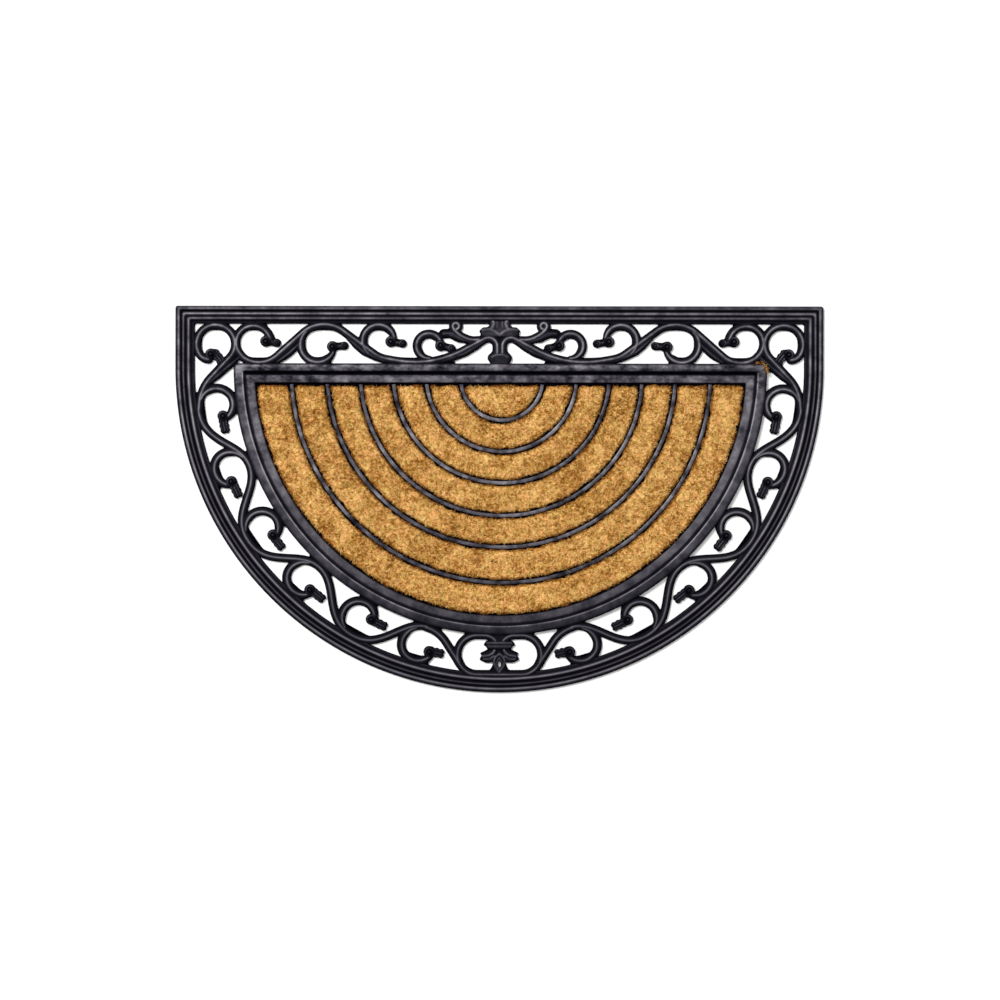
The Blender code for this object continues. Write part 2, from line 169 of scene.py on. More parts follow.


# The outer rim's section, from the mat's edge inwards; its last two columns are painted light
OUTER_RIM = (
    RimRow(0.0, 0.0, 0.0, 0.0, 0.0),
    RimRow(0.0, 0.0, 3.6, 0.05, 0.1),
    RimRow(0.5, 0.4, 5.0, 0.10, 0.40),
    RimRow(2.2, 1.2, 5.7, 0.26, 0.60),
    RimRow(3.5, 2.6, 6.3, 0.75, 0.62),
    RimRow(4.5, 3.9, 6.5, 1.15, 0.58),
    RimRow(5.3, 4.7, 6.2, 0.80, 0.25),
    RimRow(6.2, 5.4, 5.0, 0.1, 0.03),
    RimRow(7.2, 6.3, 4.2, 0.03, 0.03),
    RimRow(8.0, 7.2, 5.4, 0.10, 0.25),
    RimRow(8.8, 8.1, 6.9, 0.50, 0.68),
    RimRow(9.7, 9.2, 7.3, 0.68, 0.90),
    RimRow(10.6, 10.2, 7.1, 0.34, 0.72),
    RimRow(11.5, 11.1, 6.0, 0.08, 0.25),
    RimRow(12.4, 12.1, 4.9, 0.03, 0.05),
    RimRow(13.4, 12.8, 5.8, 0.12, 0.25),
    RimRow(14.4, 13.6, 7.5, 0.55, 0.62),
    RimRow(15.8, 14.6, 8.1, 1.15, 0.68),
    RimRow(16.8, 15.7, 7.8, 0.90, 0.56),
    RimRow(17.8, 16.7, 6.0, 0.32, 0.14),
    RimRow(19.0, 17.8, 4.2, 0.14, 0.10),
    RimRow(20.2, 18.6, 4.3, 0.22, 0.14),
    RimRow(21.1, 19.3, 4.6, 0.40, 0.24),
    RimRow(21.8, 20.1, 4.1, 0.22, 0.12),
    RimRow(22.2, 20.6, 3.0, 0.0, 0.0),
    RimRow(22.2, 20.6, 0.0, 0.0, 0.0),
)

# The inner rim's section, from the scroll border's channel inwards to the tray; its last two
# columns are painted light
INNER_RIM = (
    RimRow(66.5, 66.5, 0.0, 0.0, 0.0),
    RimRow(66.5, 66.5, 6.2, 0.05, 0.05),
    RimRow(67.3, 67.2, 7.9, 0.25, 0.3),
    RimRow(68.9, 68.6, 8.8, 0.44, 0.60),
    RimRow(70.5, 69.8, 9.0, 0.54, 0.72),
    RimRow(73.0, 71.8, 9.0, 0.56, 0.64),
    RimRow(75.6, 74.2, 9.0, 0.66, 0.47),
    RimRow(76.2, 75.0, 9.2, 1.38, 0.38),
    RimRow(76.9, 75.7, 9.0, 1.18, 0.2),
    RimRow(77.5, 76.4, 7.6, 0.2, 0.0),
    RimRow(78.3, 77.4, 5.9, 0.2, 0.0),
    RimRow(79.1, 79.4, 5.9, 0.25, 0.0),
    RimRow(80.1, 80.1, 7.0, 0.45, 0.35),
    RimRow(81.2, 81.2, 7.3, 0.73, 0.61),
    RimRow(84.6, 84.6, 7.5, 0.77, 0.62),
    RimRow(88.0, 87.8, 7.4, 0.77, 0.65),
    RimRow(88.9, 88.7, 7.0, 0.45, 0.50),
    RimRow(89.6, 89.4, 5.6, 0.0, 0.0),
    RimRow(90.0, 89.8, 3.0, 0.0, 0.0),
)

# The ribs from the middle outwards; their centres wander a little, as in the photo
RIBS = (
    Rib(47.0, 3.1, 138.3),
    Rib(86.8, 2.8, 141.9),
    Rib(124.7, 2.6, 143.6),
    Rib(162.7, 2.6, 143.7),
    Rib(201.2, 2.5, 145.9),
    Rib(242.1, 2.2, 145.8),
)

# The inner rim stands a little to the right, and is drawn in at its sides
INNER_SHIFT = 1.1
INNER_SQUEEZE = 2.0

# The ribs lean to the right by this share of the way down from this Y
RIB_SLANT = 0.010
RIB_SLANT_FROM = 90.0

# The circles that the vine runs round in the corner, and where it meets the bottom
CORNER_CIRCLES = (
    Circle(-337.0, 173.5, 12.0, Turn.RIGHT),
    Circle(-328.4, 179.0, 22.2, Turn.RIGHT),
    Circle(-297.5, 106.5, 50.0, Turn.LEFT),
)
BOTTOM_CIRCLES = (
    Circle(-95.9, -186.6, 40.0, Turn.RIGHT),
    Circle(-25.8, -179.9, 22.7, Turn.LEFT),
)

# Where the two vines end, at the middle of the bottom and of the straight border
VINE_BOTTOM_END = (0.0, -202.7)
VINE_TOP_END = (-3.6, 170.0)

# The ring that coils back at the bottom
BOTTOM_RING = (
    Circle(-25.8, -179.9, 22.7, Turn.RIGHT),
    Circle(-17.6, -174.3, 17.0, Turn.RIGHT),
)

# The circles that the straight border's vine runs round, from the corner to the middle
TOP_CIRCLES = (
    Circle(-285.0, 180.5, 20.3, Turn.LEFT),
    Circle(-278.4, 188.4, 31.0, Turn.LEFT),
    Circle(-203.2, 164.4, 37.0, Turn.RIGHT),
    Circle(-125.2, 196.5, 35.0, Turn.LEFT),
    Circle(-98.3, 278.0, 120.0, Turn.LEFT),
    Circle(-13.0, 176.8, 9.4, Turn.RIGHT),
)

# The rings, feet and low arms of the straight border, and the stretches of rim they lean on
TOP_BRANCHES = (
    Branch(-210.6, 178.2, 19.4, 132.0, 345.0),
    Branch(-140.2, 183.0, 18.0, 230.0, 0.0),
    Branch(-82.0, 177.3, 13.8, 272.0, -8.0),
)
TOP_FEET = (
    Foot(-270.9, 182.5, -257.9, 180.7),
    Foot(-193.7, 176.4, -179.9, 177.4),
    Foot(-126.2, 182.3, -112.4, 180.1),
    Foot(-68.6, 177.8, -56.0, 174.6),
)
CONTACTS = (
    Contact(-312.0, 202.7, -343.0, 202.7),
    Contact(-267.5, 202.7, -299.0, 202.7),
    Contact(-181.0, 202.7, -222.0, 202.7),
    Contact(-125.0, 202.7, -152.0, 202.7),
    Contact(-42.5, 202.7, -57.5, 202.7),
    Contact(-296.5, 156.7, -255.0, 156.7),
    Contact(-226.0, 156.7, -192.5, 156.7),
    Contact(-137.0, 156.7, -49.0, 156.7),
    Contact(-352.2, 193.0, -352.2, 165.0),
    Contact(-2.0, -155.0, -44.0, -152.5),
)
LOW_ARMS = (
    ((-59.0, 190.3), (-47.0, 186.0), (-33.0, 181.5)),
    ((-300.8, 164.4), (-315.6, 152.0), (-336.6, 133.8)),
    ((-257.7, 158.2), (-243.7, 168.7), (-230.7, 180.7)),
    ((-175.5, 185.5), (-157.5, 170.3), (-133.5, 159.5)),
    ((-66.0, 159.5), (-40.0, 169.0), (-17.0, 183.0)),
)

# The foot of the ring in the corner
CORNER_KNOB = (-334.4, 167.6)
CORNER_LEAF = (-326.4, 164.5)

# The lobes of the curved border, from the top of the left side to the bottom
LOBE_SHIFTS = (
    Shift(0.1, 0.0),
    Shift(-1.0, 2.1),
    Shift(-0.1, 0.8),
    Shift(-1.2, 2.6),
    Shift(0.1, 1.3),
    Shift(-1.0, 2.9),
)

# The middle ornament of the straight border; a negative X is its left half, which is mirrored
CURL_STEM = ((-24.0, 184.4), (-34.5, 184.2), (-46.2, 189.6), (-52.5, 195.4))
CURL_TAIL = ((-47.0, 187.0), (-57.0, 192.0), (-65.0, 191.5))
TOP_PLAQUES = (
    Plaque((
        (6.0, 207.0), (-14.6, 207.0), (-12.4, 203.6), (-12.2, 200.6), (-14.6, 198.9),
        (-19.8, 199.0), (-21.4, 197.0), (-24.2, 194.6), (-22.2, 192.0), (-22.4, 188.6),
        (-18.6, 187.2), (6.0, 186.6),
    ), 5.6, 0.36),
    Plaque((
        (6.0, 176.0), (-6.4, 176.0), (-7.2, 171.6), (-10.4, 169.4), (-13.6, 166.2),
        (-14.4, 162.6), (-12.6, 159.8), (-10.8, 157.6), (-11.8, 154.6), (6.0, 154.6),
    ), 6.0, 0.26),
    Plaque(((6.0, 190.0), (-5.0, 190.0), (-4.0, 170.0), (6.0, 170.0)), 4.2, 0.08),
)
TOP_RIDGES = (
    Ridge(
        ((-9.9, 208.0), (-7.2, 205.5), (-6.9, 202.4), (-8.3, 198.5), (-10.4, 196.6)),
        1.9, 7.2, 0.95,
    ),
    Ridge(((-3.2, 205.4), (-2.8, 199.0)), 1.2, 6.4, 0.6),
    Ridge(((-20.4, 196.2), (-10.4, 196.4), (-5.4, 194.2), (0.0, 190.0)), 1.9, 7.0, 0.85),
    Ridge(((-9.0, 164.6), (-5.0, 166.6), (0.0, 167.2)), 1.5, 6.8, 0.6),
)

# The collar, petals and pointed oval at the bottom, also as left halves
BOTTOM_PLAQUES = (
    Plaque(((6.0, -152.0), (-6.0, -152.0), (-6.6, -166.0), (6.0, -166.0)), 5.0, 0.2),
    Plaque((
        (6.0, -172.0), (-6.2, -172.0), (-6.6, -187.0), (-7.4, -191.0), (-10.4, -197.4),
        (-16.0, -204.0), (6.0, -204.0),
    ), 4.8, 0.12),
    Plaque((
        (6.0, -163.4), (-15.4, -163.6), (-16.4, -165.6), (-18.8, -168.6), (-15.0, -170.8),
        (-13.6, -174.4), (6.0, -174.4),
    ), 5.4, 0.26),
    Plaque((
        (-3.0, -171.6), (-12.8, -173.6), (-17.4, -175.8), (-23.0, -178.2), (-20.0, -180.8),
        (-23.8, -185.6), (-18.8, -188.0), (-14.6, -189.8), (-3.0, -188.0),
    ), 5.4, 0.22),
)
BOTTOM_RIDGES = (
    Ridge(((-14.0, -165.9), (0.0, -165.9)), 1.3, 6.8, 0.95),
    Ridge(((-12.8, -170.0), (0.0, -170.0)), 1.3, 6.8, 0.95),
    Ridge(((-5.4, -174.8), (-7.6, -178.0), (-11.6, -180.4), (-19.0, -181.4)), 1.6, 6.6, 0.95),
    Ridge(((-6.4, -181.4), (-10.8, -184.5), (-18.0, -184.8)), 1.4, 6.3, 0.8),
    Ridge((
        (0.0, -178.7), (-4.4, -182.4), (-6.3, -187.0), (-5.2, -192.0), (-2.6, -196.4),
        (0.0, -199.4),
    ), 1.6, 6.8, 0.95),
    Ridge(((0.0, -183.4), (-2.7, -188.0), (-2.7, -193.0), (0.0, -196.4)), 1.2, 6.0, 0.7),
)

# The stray tuft across the inner rim's right corner, and a low near-black block that fills the
# gap beside it
TUFT = ((296.8, 157.4), (303.0, 158.0), (307.2, 153.6), (309.8, 146.8))
CORNER_GAP_FILL = Plaque((
    (288.0, 154.0), (290.0, 161.0), (299.0, 168.0), (306.0, 164.0), (318.0, 149.0),
    (312.6, 147.0), (308.6, 147.6), (306.0, 150.0),
), 4.6, 0.04)


def turned(x: np.ndarray, y: np.ndarray, tilt: float) -> tuple[np.ndarray, np.ndarray]:
    """Turn coordinates into the frame of a shape that is tilted.

    Args:
        x: Distances in X from the shape's centre.
        y: Distances in Y from the shape's centre.
        tilt: The shape's tilt in degrees.

    Returns:
        Distances along the shape and across it.
    """
    angle = math.radians(tilt)
    return (
        x * math.cos(angle) + y * math.sin(angle),
        y * math.cos(angle) - x * math.sin(angle),
    )


def arc(x: float, y: float, radius: float, start: float, end: float) -> list[Point]:
    """Follow an arc from one angle to another, in steps of about ARC_STEP.

    Args:
        x: The centre's X.
        y: The centre's Y.
        radius: The arc's radius.
        start: The first angle in degrees.
        end: The last angle in degrees.

    Returns:
        The points, both ends included.
    """
    steps = max(3, round(abs(math.radians(end - start)) * radius / ARC_STEP))
    angles = np.radians(np.linspace(start, end, steps + 1))
    return [(x + radius * math.cos(a), y + radius * math.sin(a)) for a in angles]


def belt(circles: Sequence[Circle], start: float, end: float) -> list[Point]:
    """Wrap a path round circles, with straight runs between them.

    Args:
        circles: The circles in the order that the path meets them.
        start: The path's first heading in degrees.
        end: The path's last heading in degrees.

    Returns:
        The path's points.
    """
    headings = [start]
    for here, there in zip(circles, circles[1:]):
        across = there.x - here.x
        up = there.y - here.y
        lean = here.turn.value * here.radius - there.turn.value * there.radius
        lean = max(-1.0, min(1.0, lean / math.hypot(across, up)))
        headings.append(math.degrees(math.atan2(up, across) + math.asin(lean)))
    headings.append(end)
    path: list[Point] = []
    for circle, enter, leave in zip(circles, headings, headings[1:]):
        turn = circle.turn.value
        sweep = (leave - enter) * turn % 360
        first = enter - 90 * turn
        path += arc(circle.x, circle.y, circle.radius, first, first + sweep * turn)
    return path


def soften(rows: np.ndarray, rounds: int) -> np.ndarray:
    """Round a line's corners by cutting them again and again.

    Args:
        rows: The line's points, one a row.
        rounds: How many times the corners are cut.

    Returns:
        The softer line, with its two ends kept.
    """
    for _ in range(rounds):
        near = rows[:-1] * 0.75 + rows[1:] * 0.25
        far = rows[:-1] * 0.25 + rows[1:] * 0.75
        middle = np.stack((near, far), axis=1).reshape(-1, rows.shape[1])
        rows = np.vstack((rows[:1], middle, rows[-1:]))
    return rows


def keep_inside(
    triangles: Sequence[Sequence[int]], walls: Sequence[tuple[int, int]]
) -> list[Sequence[int]]:
    """Choose the triangles that lie on the left of walls, and those joined to them.

    Args:
        triangles: Triangles as point numbers, anticlockwise.
        walls: Directed edges that no choice spreads across.

    Returns:
        The chosen triangles.
    """
    owner = {}
    for index, (a, b, c) in enumerate(triangles):
        for edge in ((a, b), (b, c), (c, a)):
            owner[edge] = index
    barred = set(walls) | {(b, a) for a, b in walls}
    chosen = {owner[edge] for edge in walls}
    waiting = list(chosen)
    while waiting:
        a, b, c = triangles[waiting.pop()]
        for near, far in ((a, b), (b, c), (c, a)):
            other = owner.get((far, near))
            if (near, far) in barred or other is None or other in chosen:
                continue
            chosen.add(other)
            waiting.append(other)
    return [triangles[index] for index in sorted(chosen)]


def blend_max(first: np.ndarray, second: np.ndarray, reach: float) -> np.ndarray:
    """Take the larger of two fields, with a fillet where they are nearly equal.

    Args:
        first: One field.
        second: The other field.
        reach: How close the fields are where the fillet starts.

    Returns:
        The blended field.
    """
    near = np.maximum(reach - np.abs(first - second), 0.0) / reach
    return np.maximum(first, second) + near * near * reach / 4


def ramp(values: np.ndarray, start: float, run: float) -> np.ndarray:
    """Rise from 0 at a start to 1 over a run."""
    return np.clip((values - start) / run, 0.0, 1.0)


def bell(values: np.ndarray, middle: float, width: float) -> np.ndarray:
    """Rise to 1 at the middle of a bell curve."""
    return np.exp(-(((values - middle) / width) ** 2))


def soft_noise(x: np.ndarray, y: np.ndarray, cell: float, seed: int) -> np.ndarray:
    """Make smooth noise from a lattice of random values.

    Args:
        x: The points' X.
        y: The points' Y.
        cell: The lattice's spacing.
        seed: The lattice's seed.

    Returns:
        Values from about -1 to 1.
    """
    lattice = np.random.default_rng(seed).uniform(-1.0, 1.0, (NOISE_CELLS, NOISE_CELLS))
    across = x / cell + NOISE_CELLS / 2
    up = y / cell + NOISE_CELLS / 2
    column = np.floor(across).astype(int)
    row = np.floor(up).astype(int)
    u = across - column
    v = up - row
    u = u * u * (3 - 2 * u)
    v = v * v * (3 - 2 * v)
    corners = [
        lattice[(row + down) % NOISE_CELLS, (column + right) % NOISE_CELLS]
        for down in (0, 1)
        for right in (0, 1)
    ]
    low = corners[0] * (1 - u) + corners[1] * u
    high = corners[2] * (1 - u) + corners[3] * u
    return low * (1 - v) + high * v


def make_piece(name: str, points: np.ndarray, faces: Iterable[Sequence[int]]) -> bpy.types.Object:
    """Make a mesh object in the scene.

    Args:
        name: The piece's name.
        points: Its points in millimetres, one a row.
        faces: Its faces as rows of point numbers.

    Returns:
        The object, at the origin.
    """
    mesh = bpy.data.meshes.new(name)
    mesh.from_pydata((np.asarray(points) * MM).tolist(), [], [list(face) for face in faces])
    mesh.validate()
    piece = bpy.data.objects.new(name, mesh)
    bpy.context.scene.collection.objects.link(piece)
    return piece


def finish_mesh(mesh: bpy.types.Mesh, sharp_angle: float, recalculate: bool) -> None:
    """Turn a mesh's faces outwards and shade it smooth between its sharp edges.

    Args:
        mesh: The mesh.
        sharp_angle: Edges that bend by more than this many degrees stay sharp.
        recalculate: Whether the faces still need turning outwards.
    """
    if recalculate:
        shape = bmesh.new()
        shape.from_mesh(mesh)
        bmesh.ops.recalc_face_normals(shape, faces=shape.faces)
        shape.to_mesh(mesh)
        shape.free()
    mesh.shade_smooth()
    mesh.set_sharp_from_angle(angle=math.radians(sharp_angle))


def store(mesh: bpy.types.Mesh, name: str, values: np.ndarray) -> None:
    """Keep one number a point with a mesh, for its material to read.

    Args:
        mesh: The mesh.
        name: The attribute's name.
        values: The numbers.
    """
    layer = mesh.attributes.new(name, "FLOAT", "POINT")
    layer.data.foreach_set("value", np.asarray(values, dtype=np.float32).ravel())


def loft(name: str, loops: np.ndarray, ends: Ends, sharp_angle: float) -> bpy.types.Object:
    """Join closed loops of equal length into a closed skin.

    Args:
        name: The piece's name.
        loops: The loops, as an array of loop, point and coordinate.
        ends: Whether the first and last loops are capped, or join into a ring.
        sharp_angle: Edges that bend by more than this many degrees stay sharp.

    Returns:
        The piece.
    """
    rows, count = loops.shape[:2]
    pairs = rows if ends is Ends.RING else rows - 1
    faces: list[Sequence[int]] = []
    for row in range(pairs):
        lower = row * count
        upper = (row + 1) % rows * count
        for column in range(count):
            after = (column + 1) % count
            faces.append((lower + column, lower + after, upper + after, upper + column))
    if ends is Ends.CAPPED:
        faces.append(range(count))
        faces.append(range((rows - 1) * count, rows * count))
    piece = make_piece(name, loops.reshape(-1, 3), faces)
    finish_mesh(piece.data, sharp_angle, recalculate=True)
    return piece


@dataclass(frozen=True)
class HalfRound:
    """The mat's outline: a half disc with short straight sides."""

    radius: float = 375.0
    straight_side: float = 72.0
    arc_steps: int = 240
    corner_steps: int = 4

    @property
    def top(self) -> float:
        """The straight edge's Y."""
        return (self.radius + self.straight_side) / 2

    @property
    def centre_y(self) -> float:
        """The Y of the arc's centre."""
        return self.top - self.straight_side

    def insets(self, x: np.ndarray, y: np.ndarray) -> tuple[np.ndarray, np.ndarray]:
        """Measure how far points are inside the outline.

        Args:
            x: The points' X.
            y: The points' Y.

        Returns:
            The distances in from the arc with its straight sides, and in from the straight edge.
        """
        from_arc = self.radius - np.hypot(x, np.minimum(y - self.centre_y, 0.0))
        return from_arc, self.top - y

    def outline(self, from_arc: float, from_straight: float, corner: float) -> np.ndarray:
        """Draw the outline, set in and with its two corners rounded.

        Args:
            from_arc: The distance in from the arc and its straight sides.
            from_straight: The distance in from the straight edge.
            corner: The corners' radius.

        Returns:
            Points once round the outline, one a row, as many for any inset.
        """
        radius = self.radius - from_arc
        top = self.top - from_straight
        hub_y = top - corner
        rise = hub_y - self.centre_y
        if rise >= 0:
            hub_x = corner - radius
            meet = math.pi
            stretch = np.linspace(math.pi, 2 * math.pi, self.arc_steps)
        else:
            hub_x = -math.sqrt((radius - corner) ** 2 - rise**2)
            meet = math.atan2(rise, hub_x) % (2 * math.pi)
            stretch = np.linspace(meet, 3 * math.pi - meet, self.arc_steps + 2)[1:-1]
        bend = np.linspace(math.pi / 2, meet, self.corner_steps + 1)
        left = [(hub_x + corner * math.cos(a), hub_y + corner * math.sin(a)) for a in bend]
        right = [(-x, y) for x, y in reversed(left)]
        lower = [
            (radius * math.cos(a), self.centre_y + radius * math.sin(a)) for a in stretch
        ]
        return np.array(left + lower + right)


def find_socket(sockets: Iterable[bpy.types.NodeSocket], key: str) -> bpy.types.NodeSocket:
    """Find a socket by its identifier, or else by its name.

    Args:
        sockets: A node's inputs or outputs.
        key: The identifier or name.

    Returns:
        The socket.
    """
    by_identifier = [socket for socket in sockets if socket.identifier == key]
    by_name = [socket for socket in sockets if socket.name == key]
    return (by_identifier + by_name)[0]


def add_node(
    tree: bpy.types.NodeTree, kind: str, settings: dict[str, object], sockets: dict[str, object]
) -> bpy.types.Node:
    """Add a node to a tree: its settings first, then its sockets.

    Args:
        tree: The tree.
        kind: The node's type.
        settings: The node's own settings; stops fill its colour ramp.
        sockets: A value, a socket or a wire for each input, by identifier or name.

    Returns:
        The node.
    """
    node = tree.nodes.new(kind)
    for key, value in settings.items():
        if key == "stops":
            fill_ramp(node.color_ramp, value)
        else:
            setattr(node, key, value)
    for key, value in sockets.items():
        target = find_socket(node.inputs, key)
        source = value.socket if isinstance(value, Wire) else value
        if isinstance(source, bpy.types.NodeSocket):
            tree.links.new(source, target)
        else:
            target.default_value = source
    return node


def fill_ramp(colours: bpy.types.ColorRamp, stops: Sequence[tuple[float, Colour]]) -> None:
    """Set a colour ramp's stops.

    Args:
        colours: The ramp.
        stops: A place and a colour for each stop.
    """
    while len(colours.elements) < len(stops):
        colours.elements.new(0.5)
    for element, (place, colour) in zip(colours.elements, stops):
        element.position = place
        element.color = (*colour, 1.0)


@dataclass
class Shader:
    """One material's node tree, built with plain calls."""

    name: str
    material: bpy.types.Material = field(init=False)

    def __post_init__(self) -> None:
        """Make the material with an empty tree."""
        self.material = bpy.data.materials.new(self.name)
        self.material.use_nodes = True
        self.material.node_tree.nodes.clear()

    def node(
        self,
        kind: str,
        settings: dict[str, object] | None = None,
        sockets: dict[str, object] | None = None,
        output: str = "",
    ) -> "Wire":
        """Add a node of any type.

        Args:
            kind: The node's type.
            settings: The node's own settings, set before its sockets.
            sockets: A value or a wire for each input, by name or identifier.
            output: The name or identifier of the output to return, or the first one.

        Returns:
            The chosen output.
        """
        node = add_node(self.material.node_tree, kind, settings or {}, sockets or {})
        return Wire(self, find_socket(node.outputs, output) if output else node.outputs[0])

    def noise(self, place: "Wire", scale: float, detail: float, roughness: float) -> "Wire":
        """Add noise over a place, from 0 to 1.

        Args:
            place: The coordinates.
            scale: Cells a metre.
            detail: How many finer layers it has.
            roughness: How strong the finer layers are.

        Returns:
            The noise.
        """
        sockets = {"Vector": place, "Scale": scale, "Detail": detail, "Roughness": roughness}
        return self.node("ShaderNodeTexNoise", sockets=sockets)

    def mix(self, factor: "Wire | float", first: object, second: object) -> "Wire":
        """Mix two colours.

        Args:
            factor: The second colour's share.
            first: A colour or a wire.
            second: A colour or a wire.

        Returns:
            The mixed colour.
        """
        sockets = {"Factor_Float": factor, "A_Color": first, "B_Color": second}
        return self.node("ShaderNodeMix", {"data_type": "RGBA"}, sockets, "Result_Color")

    def attribute(self, name: str) -> "Wire":
        """Read a number that is kept with the mesh."""
        settings = {"attribute_name": name, "attribute_type": "GEOMETRY"}
        return self.node("ShaderNodeAttribute", settings, output="Fac")

    def place(self) -> "Wire":
        """Return the object coordinates, which are the mat's own in metres."""
        return self.node("ShaderNodeTexCoord", output="Object")

    def bump(self, height: "Wire", distance: float, strength: float) -> "Wire":
        """Turn a height into a normal.

        Args:
            height: The height, from 0 to 1.
            distance: What a height of 1 stands for, in metres.
            strength: How much of it shows.

        Returns:
            The normal.
        """
        sockets = {"Height": height, "Distance": distance, "Strength": strength}
        return self.node("ShaderNodeBump", sockets=sockets)

    def surface(self, sockets: dict[str, object]) -> bpy.types.Material:
        """End the tree in a Principled shader.

        Args:
            sockets: A value or a wire for each of the shader's inputs.

        Returns:
            The material.
        """
        shader = self.node("ShaderNodeBsdfPrincipled", sockets=sockets)
        end = self.material.node_tree.nodes.new("ShaderNodeOutputMaterial")
        self.material.node_tree.links.new(shader.socket, end.inputs["Surface"])
        return self.material


@dataclass(frozen=True)
class Wire:
    """A shader socket that Python arithmetic works on."""

    shader: Shader
    socket: bpy.types.NodeSocket

    def _math(self, operation: str, first: object, second: object) -> "Wire":
        """Add a Math node for one operation on two values."""
        settings = {"operation": operation}
        return self.shader.node("ShaderNodeMath", settings, {"Value": first, "Value_001": second})

    def __add__(self, other: "Wire | float") -> "Wire":
        """Add."""
        return self._math("ADD", self, other)

    def __sub__(self, other: "Wire | float") -> "Wire":
        """Subtract."""
        return self._math("SUBTRACT", self, other)

    def __rsub__(self, other: float) -> "Wire":
        """Subtract from a number."""
        return self._math("SUBTRACT", other, self)

    def __mul__(self, other: "Wire | float") -> "Wire":
        """Multiply."""
        return self._math("MULTIPLY", self, other)

    __radd__ = __add__
    __rmul__ = __mul__

    def rise(self, low: float, high: float) -> "Wire":
        """Ease from 0 to 1 as this goes from low to high.

        Args:
            low: Where the rise starts.
            high: Where it ends.

        Returns:
            The eased value.
        """
        sockets = {"Value": self, "From Min": low, "From Max": high}
        return self.shader.node(
            "ShaderNodeMapRange", {"interpolation_type": "SMOOTHSTEP"}, sockets
        )


@dataclass(frozen=True)
class RubberFinish:
    """Moulded black rubber with painted light.

    It has near-black painted shade in its grooves and on its flanks, and painted highlights on
    its flat tops and ridges, mottled by bloom and scuffs. It grows paler, and its blotches and
    scuffs grow stronger, towards +Y, each between two places along Y, in metres.
    """

    name: str = "moulded_black_rubber"
    # The stops stand for painted light as well as the rubber's colour: near-black painted shade
    # from groove to flank, the body, then paler flat tops and ridges as painted highlights, which
    # the bloom and scuffs also reach.
    groove: Colour = (0.0012, 0.0011, 0.0020)
    flank: Colour = (0.0105, 0.0098, 0.0142)
    body: Colour = (0.0245, 0.0226, 0.0300)
    flat: Colour = (0.055, 0.0505, 0.0620)
    bloom_and_sheen: Colour = (0.091, 0.084, 0.100)
    ridge: Colour = (0.150, 0.142, 0.160)
    bare_and_highlight: Colour = (0.235, 0.222, 0.245)
    blotches: float = 1.7
    streaks: float = 0.5
    low_share: float = 0.84
    calm_share: float = 0.4
    level_gain: float = 0.83
    cloud_cells: float = 65.0
    streak_cells: float = 220.0
    pit_cells: float = 240.0
    grain_cells: float = 900.0
    grain_depth: float = 0.0004
    pale_rise: Pair = (-0.20, 0.06)
    blotch_rise: Pair = (0.02, 0.16)
    scuff_rise: Pair = (0.11, 0.15)
    streak_stretch: float = 0.45
    roughness: float = 0.5
    bump_strength: float = 0.35
    coat: float = 0.55
    coat_roughness: float = 0.34
    coat_rise: Pair = (0.12, 0.9)

    def build(self) -> bpy.types.Material:
        """Make the material.

        Returns:
            The material, which reads object coordinates and each point's painted light.
        """
        shader = Shader(self.name)
        place = shader.place()
        painted_light = shader.attribute(PAINTED_LIGHT_ATTRIBUTE)
        far_end = shader.node("ShaderNodeSeparateXYZ", sockets={"Vector": place}, output="Y")
        # Darker towards the bottom of the mat, paler towards its straight edge.
        pale_share = self.low_share + far_end.rise(*self.pale_rise) * (1.0 - self.low_share)
        unevenness = self.calm_share + far_end.rise(*self.blotch_rise) * (1.0 - self.calm_share)
        clouds = shader.noise(place, self.cloud_cells, 4.0, 0.62)
        stretched = shader.node(
            "ShaderNodeVectorMath",
            {"operation": "MULTIPLY"},
            {"Vector": place, "Vector_001": (self.streak_stretch, 1.0, 1.0)},
        )
        streaks = shader.noise(stretched, self.streak_cells, 3.0, 0.6)
        grain = shader.noise(place, self.grain_cells, 3.0, 0.6)
        blotches = (clouds - 0.5) * self.blotches * unevenness
        scuffs = (streaks - 0.5) * self.streaks * far_end.rise(*self.scuff_rise)
        # The painted light, mottled by bloom and scuffs, picks the colour and the coat.
        painted_light_level = painted_light * pale_share * (1.0 + blotches + scuffs) * self.level_gain
        stops = (
            (0.00, self.groove),
            (0.21, self.flank),
            (0.35, self.body),
            (0.52, self.flat),
            (0.67, self.bloom_and_sheen),
            (0.83, self.ridge),
            (1.00, self.bare_and_highlight),
        )
        colour = shader.node(
            "ShaderNodeValToRGB", {"stops": stops}, {"Fac": painted_light_level}, output="Color"
        )
        pits = shader.noise(place, self.pit_cells, 2.0, 0.5)
        normal = shader.bump(grain * 0.5 + pits * 0.5, self.grain_depth, self.bump_strength)
        return shader.surface({
            "Base Color": colour,
            "Roughness": self.roughness + grain * 0.2,
            "Specular IOR Level": 0.0,
            "Coat Weight": painted_light_level.rise(*self.coat_rise) * self.coat,
            "Coat Roughness": self.coat_roughness,
            "Normal": normal,
        })


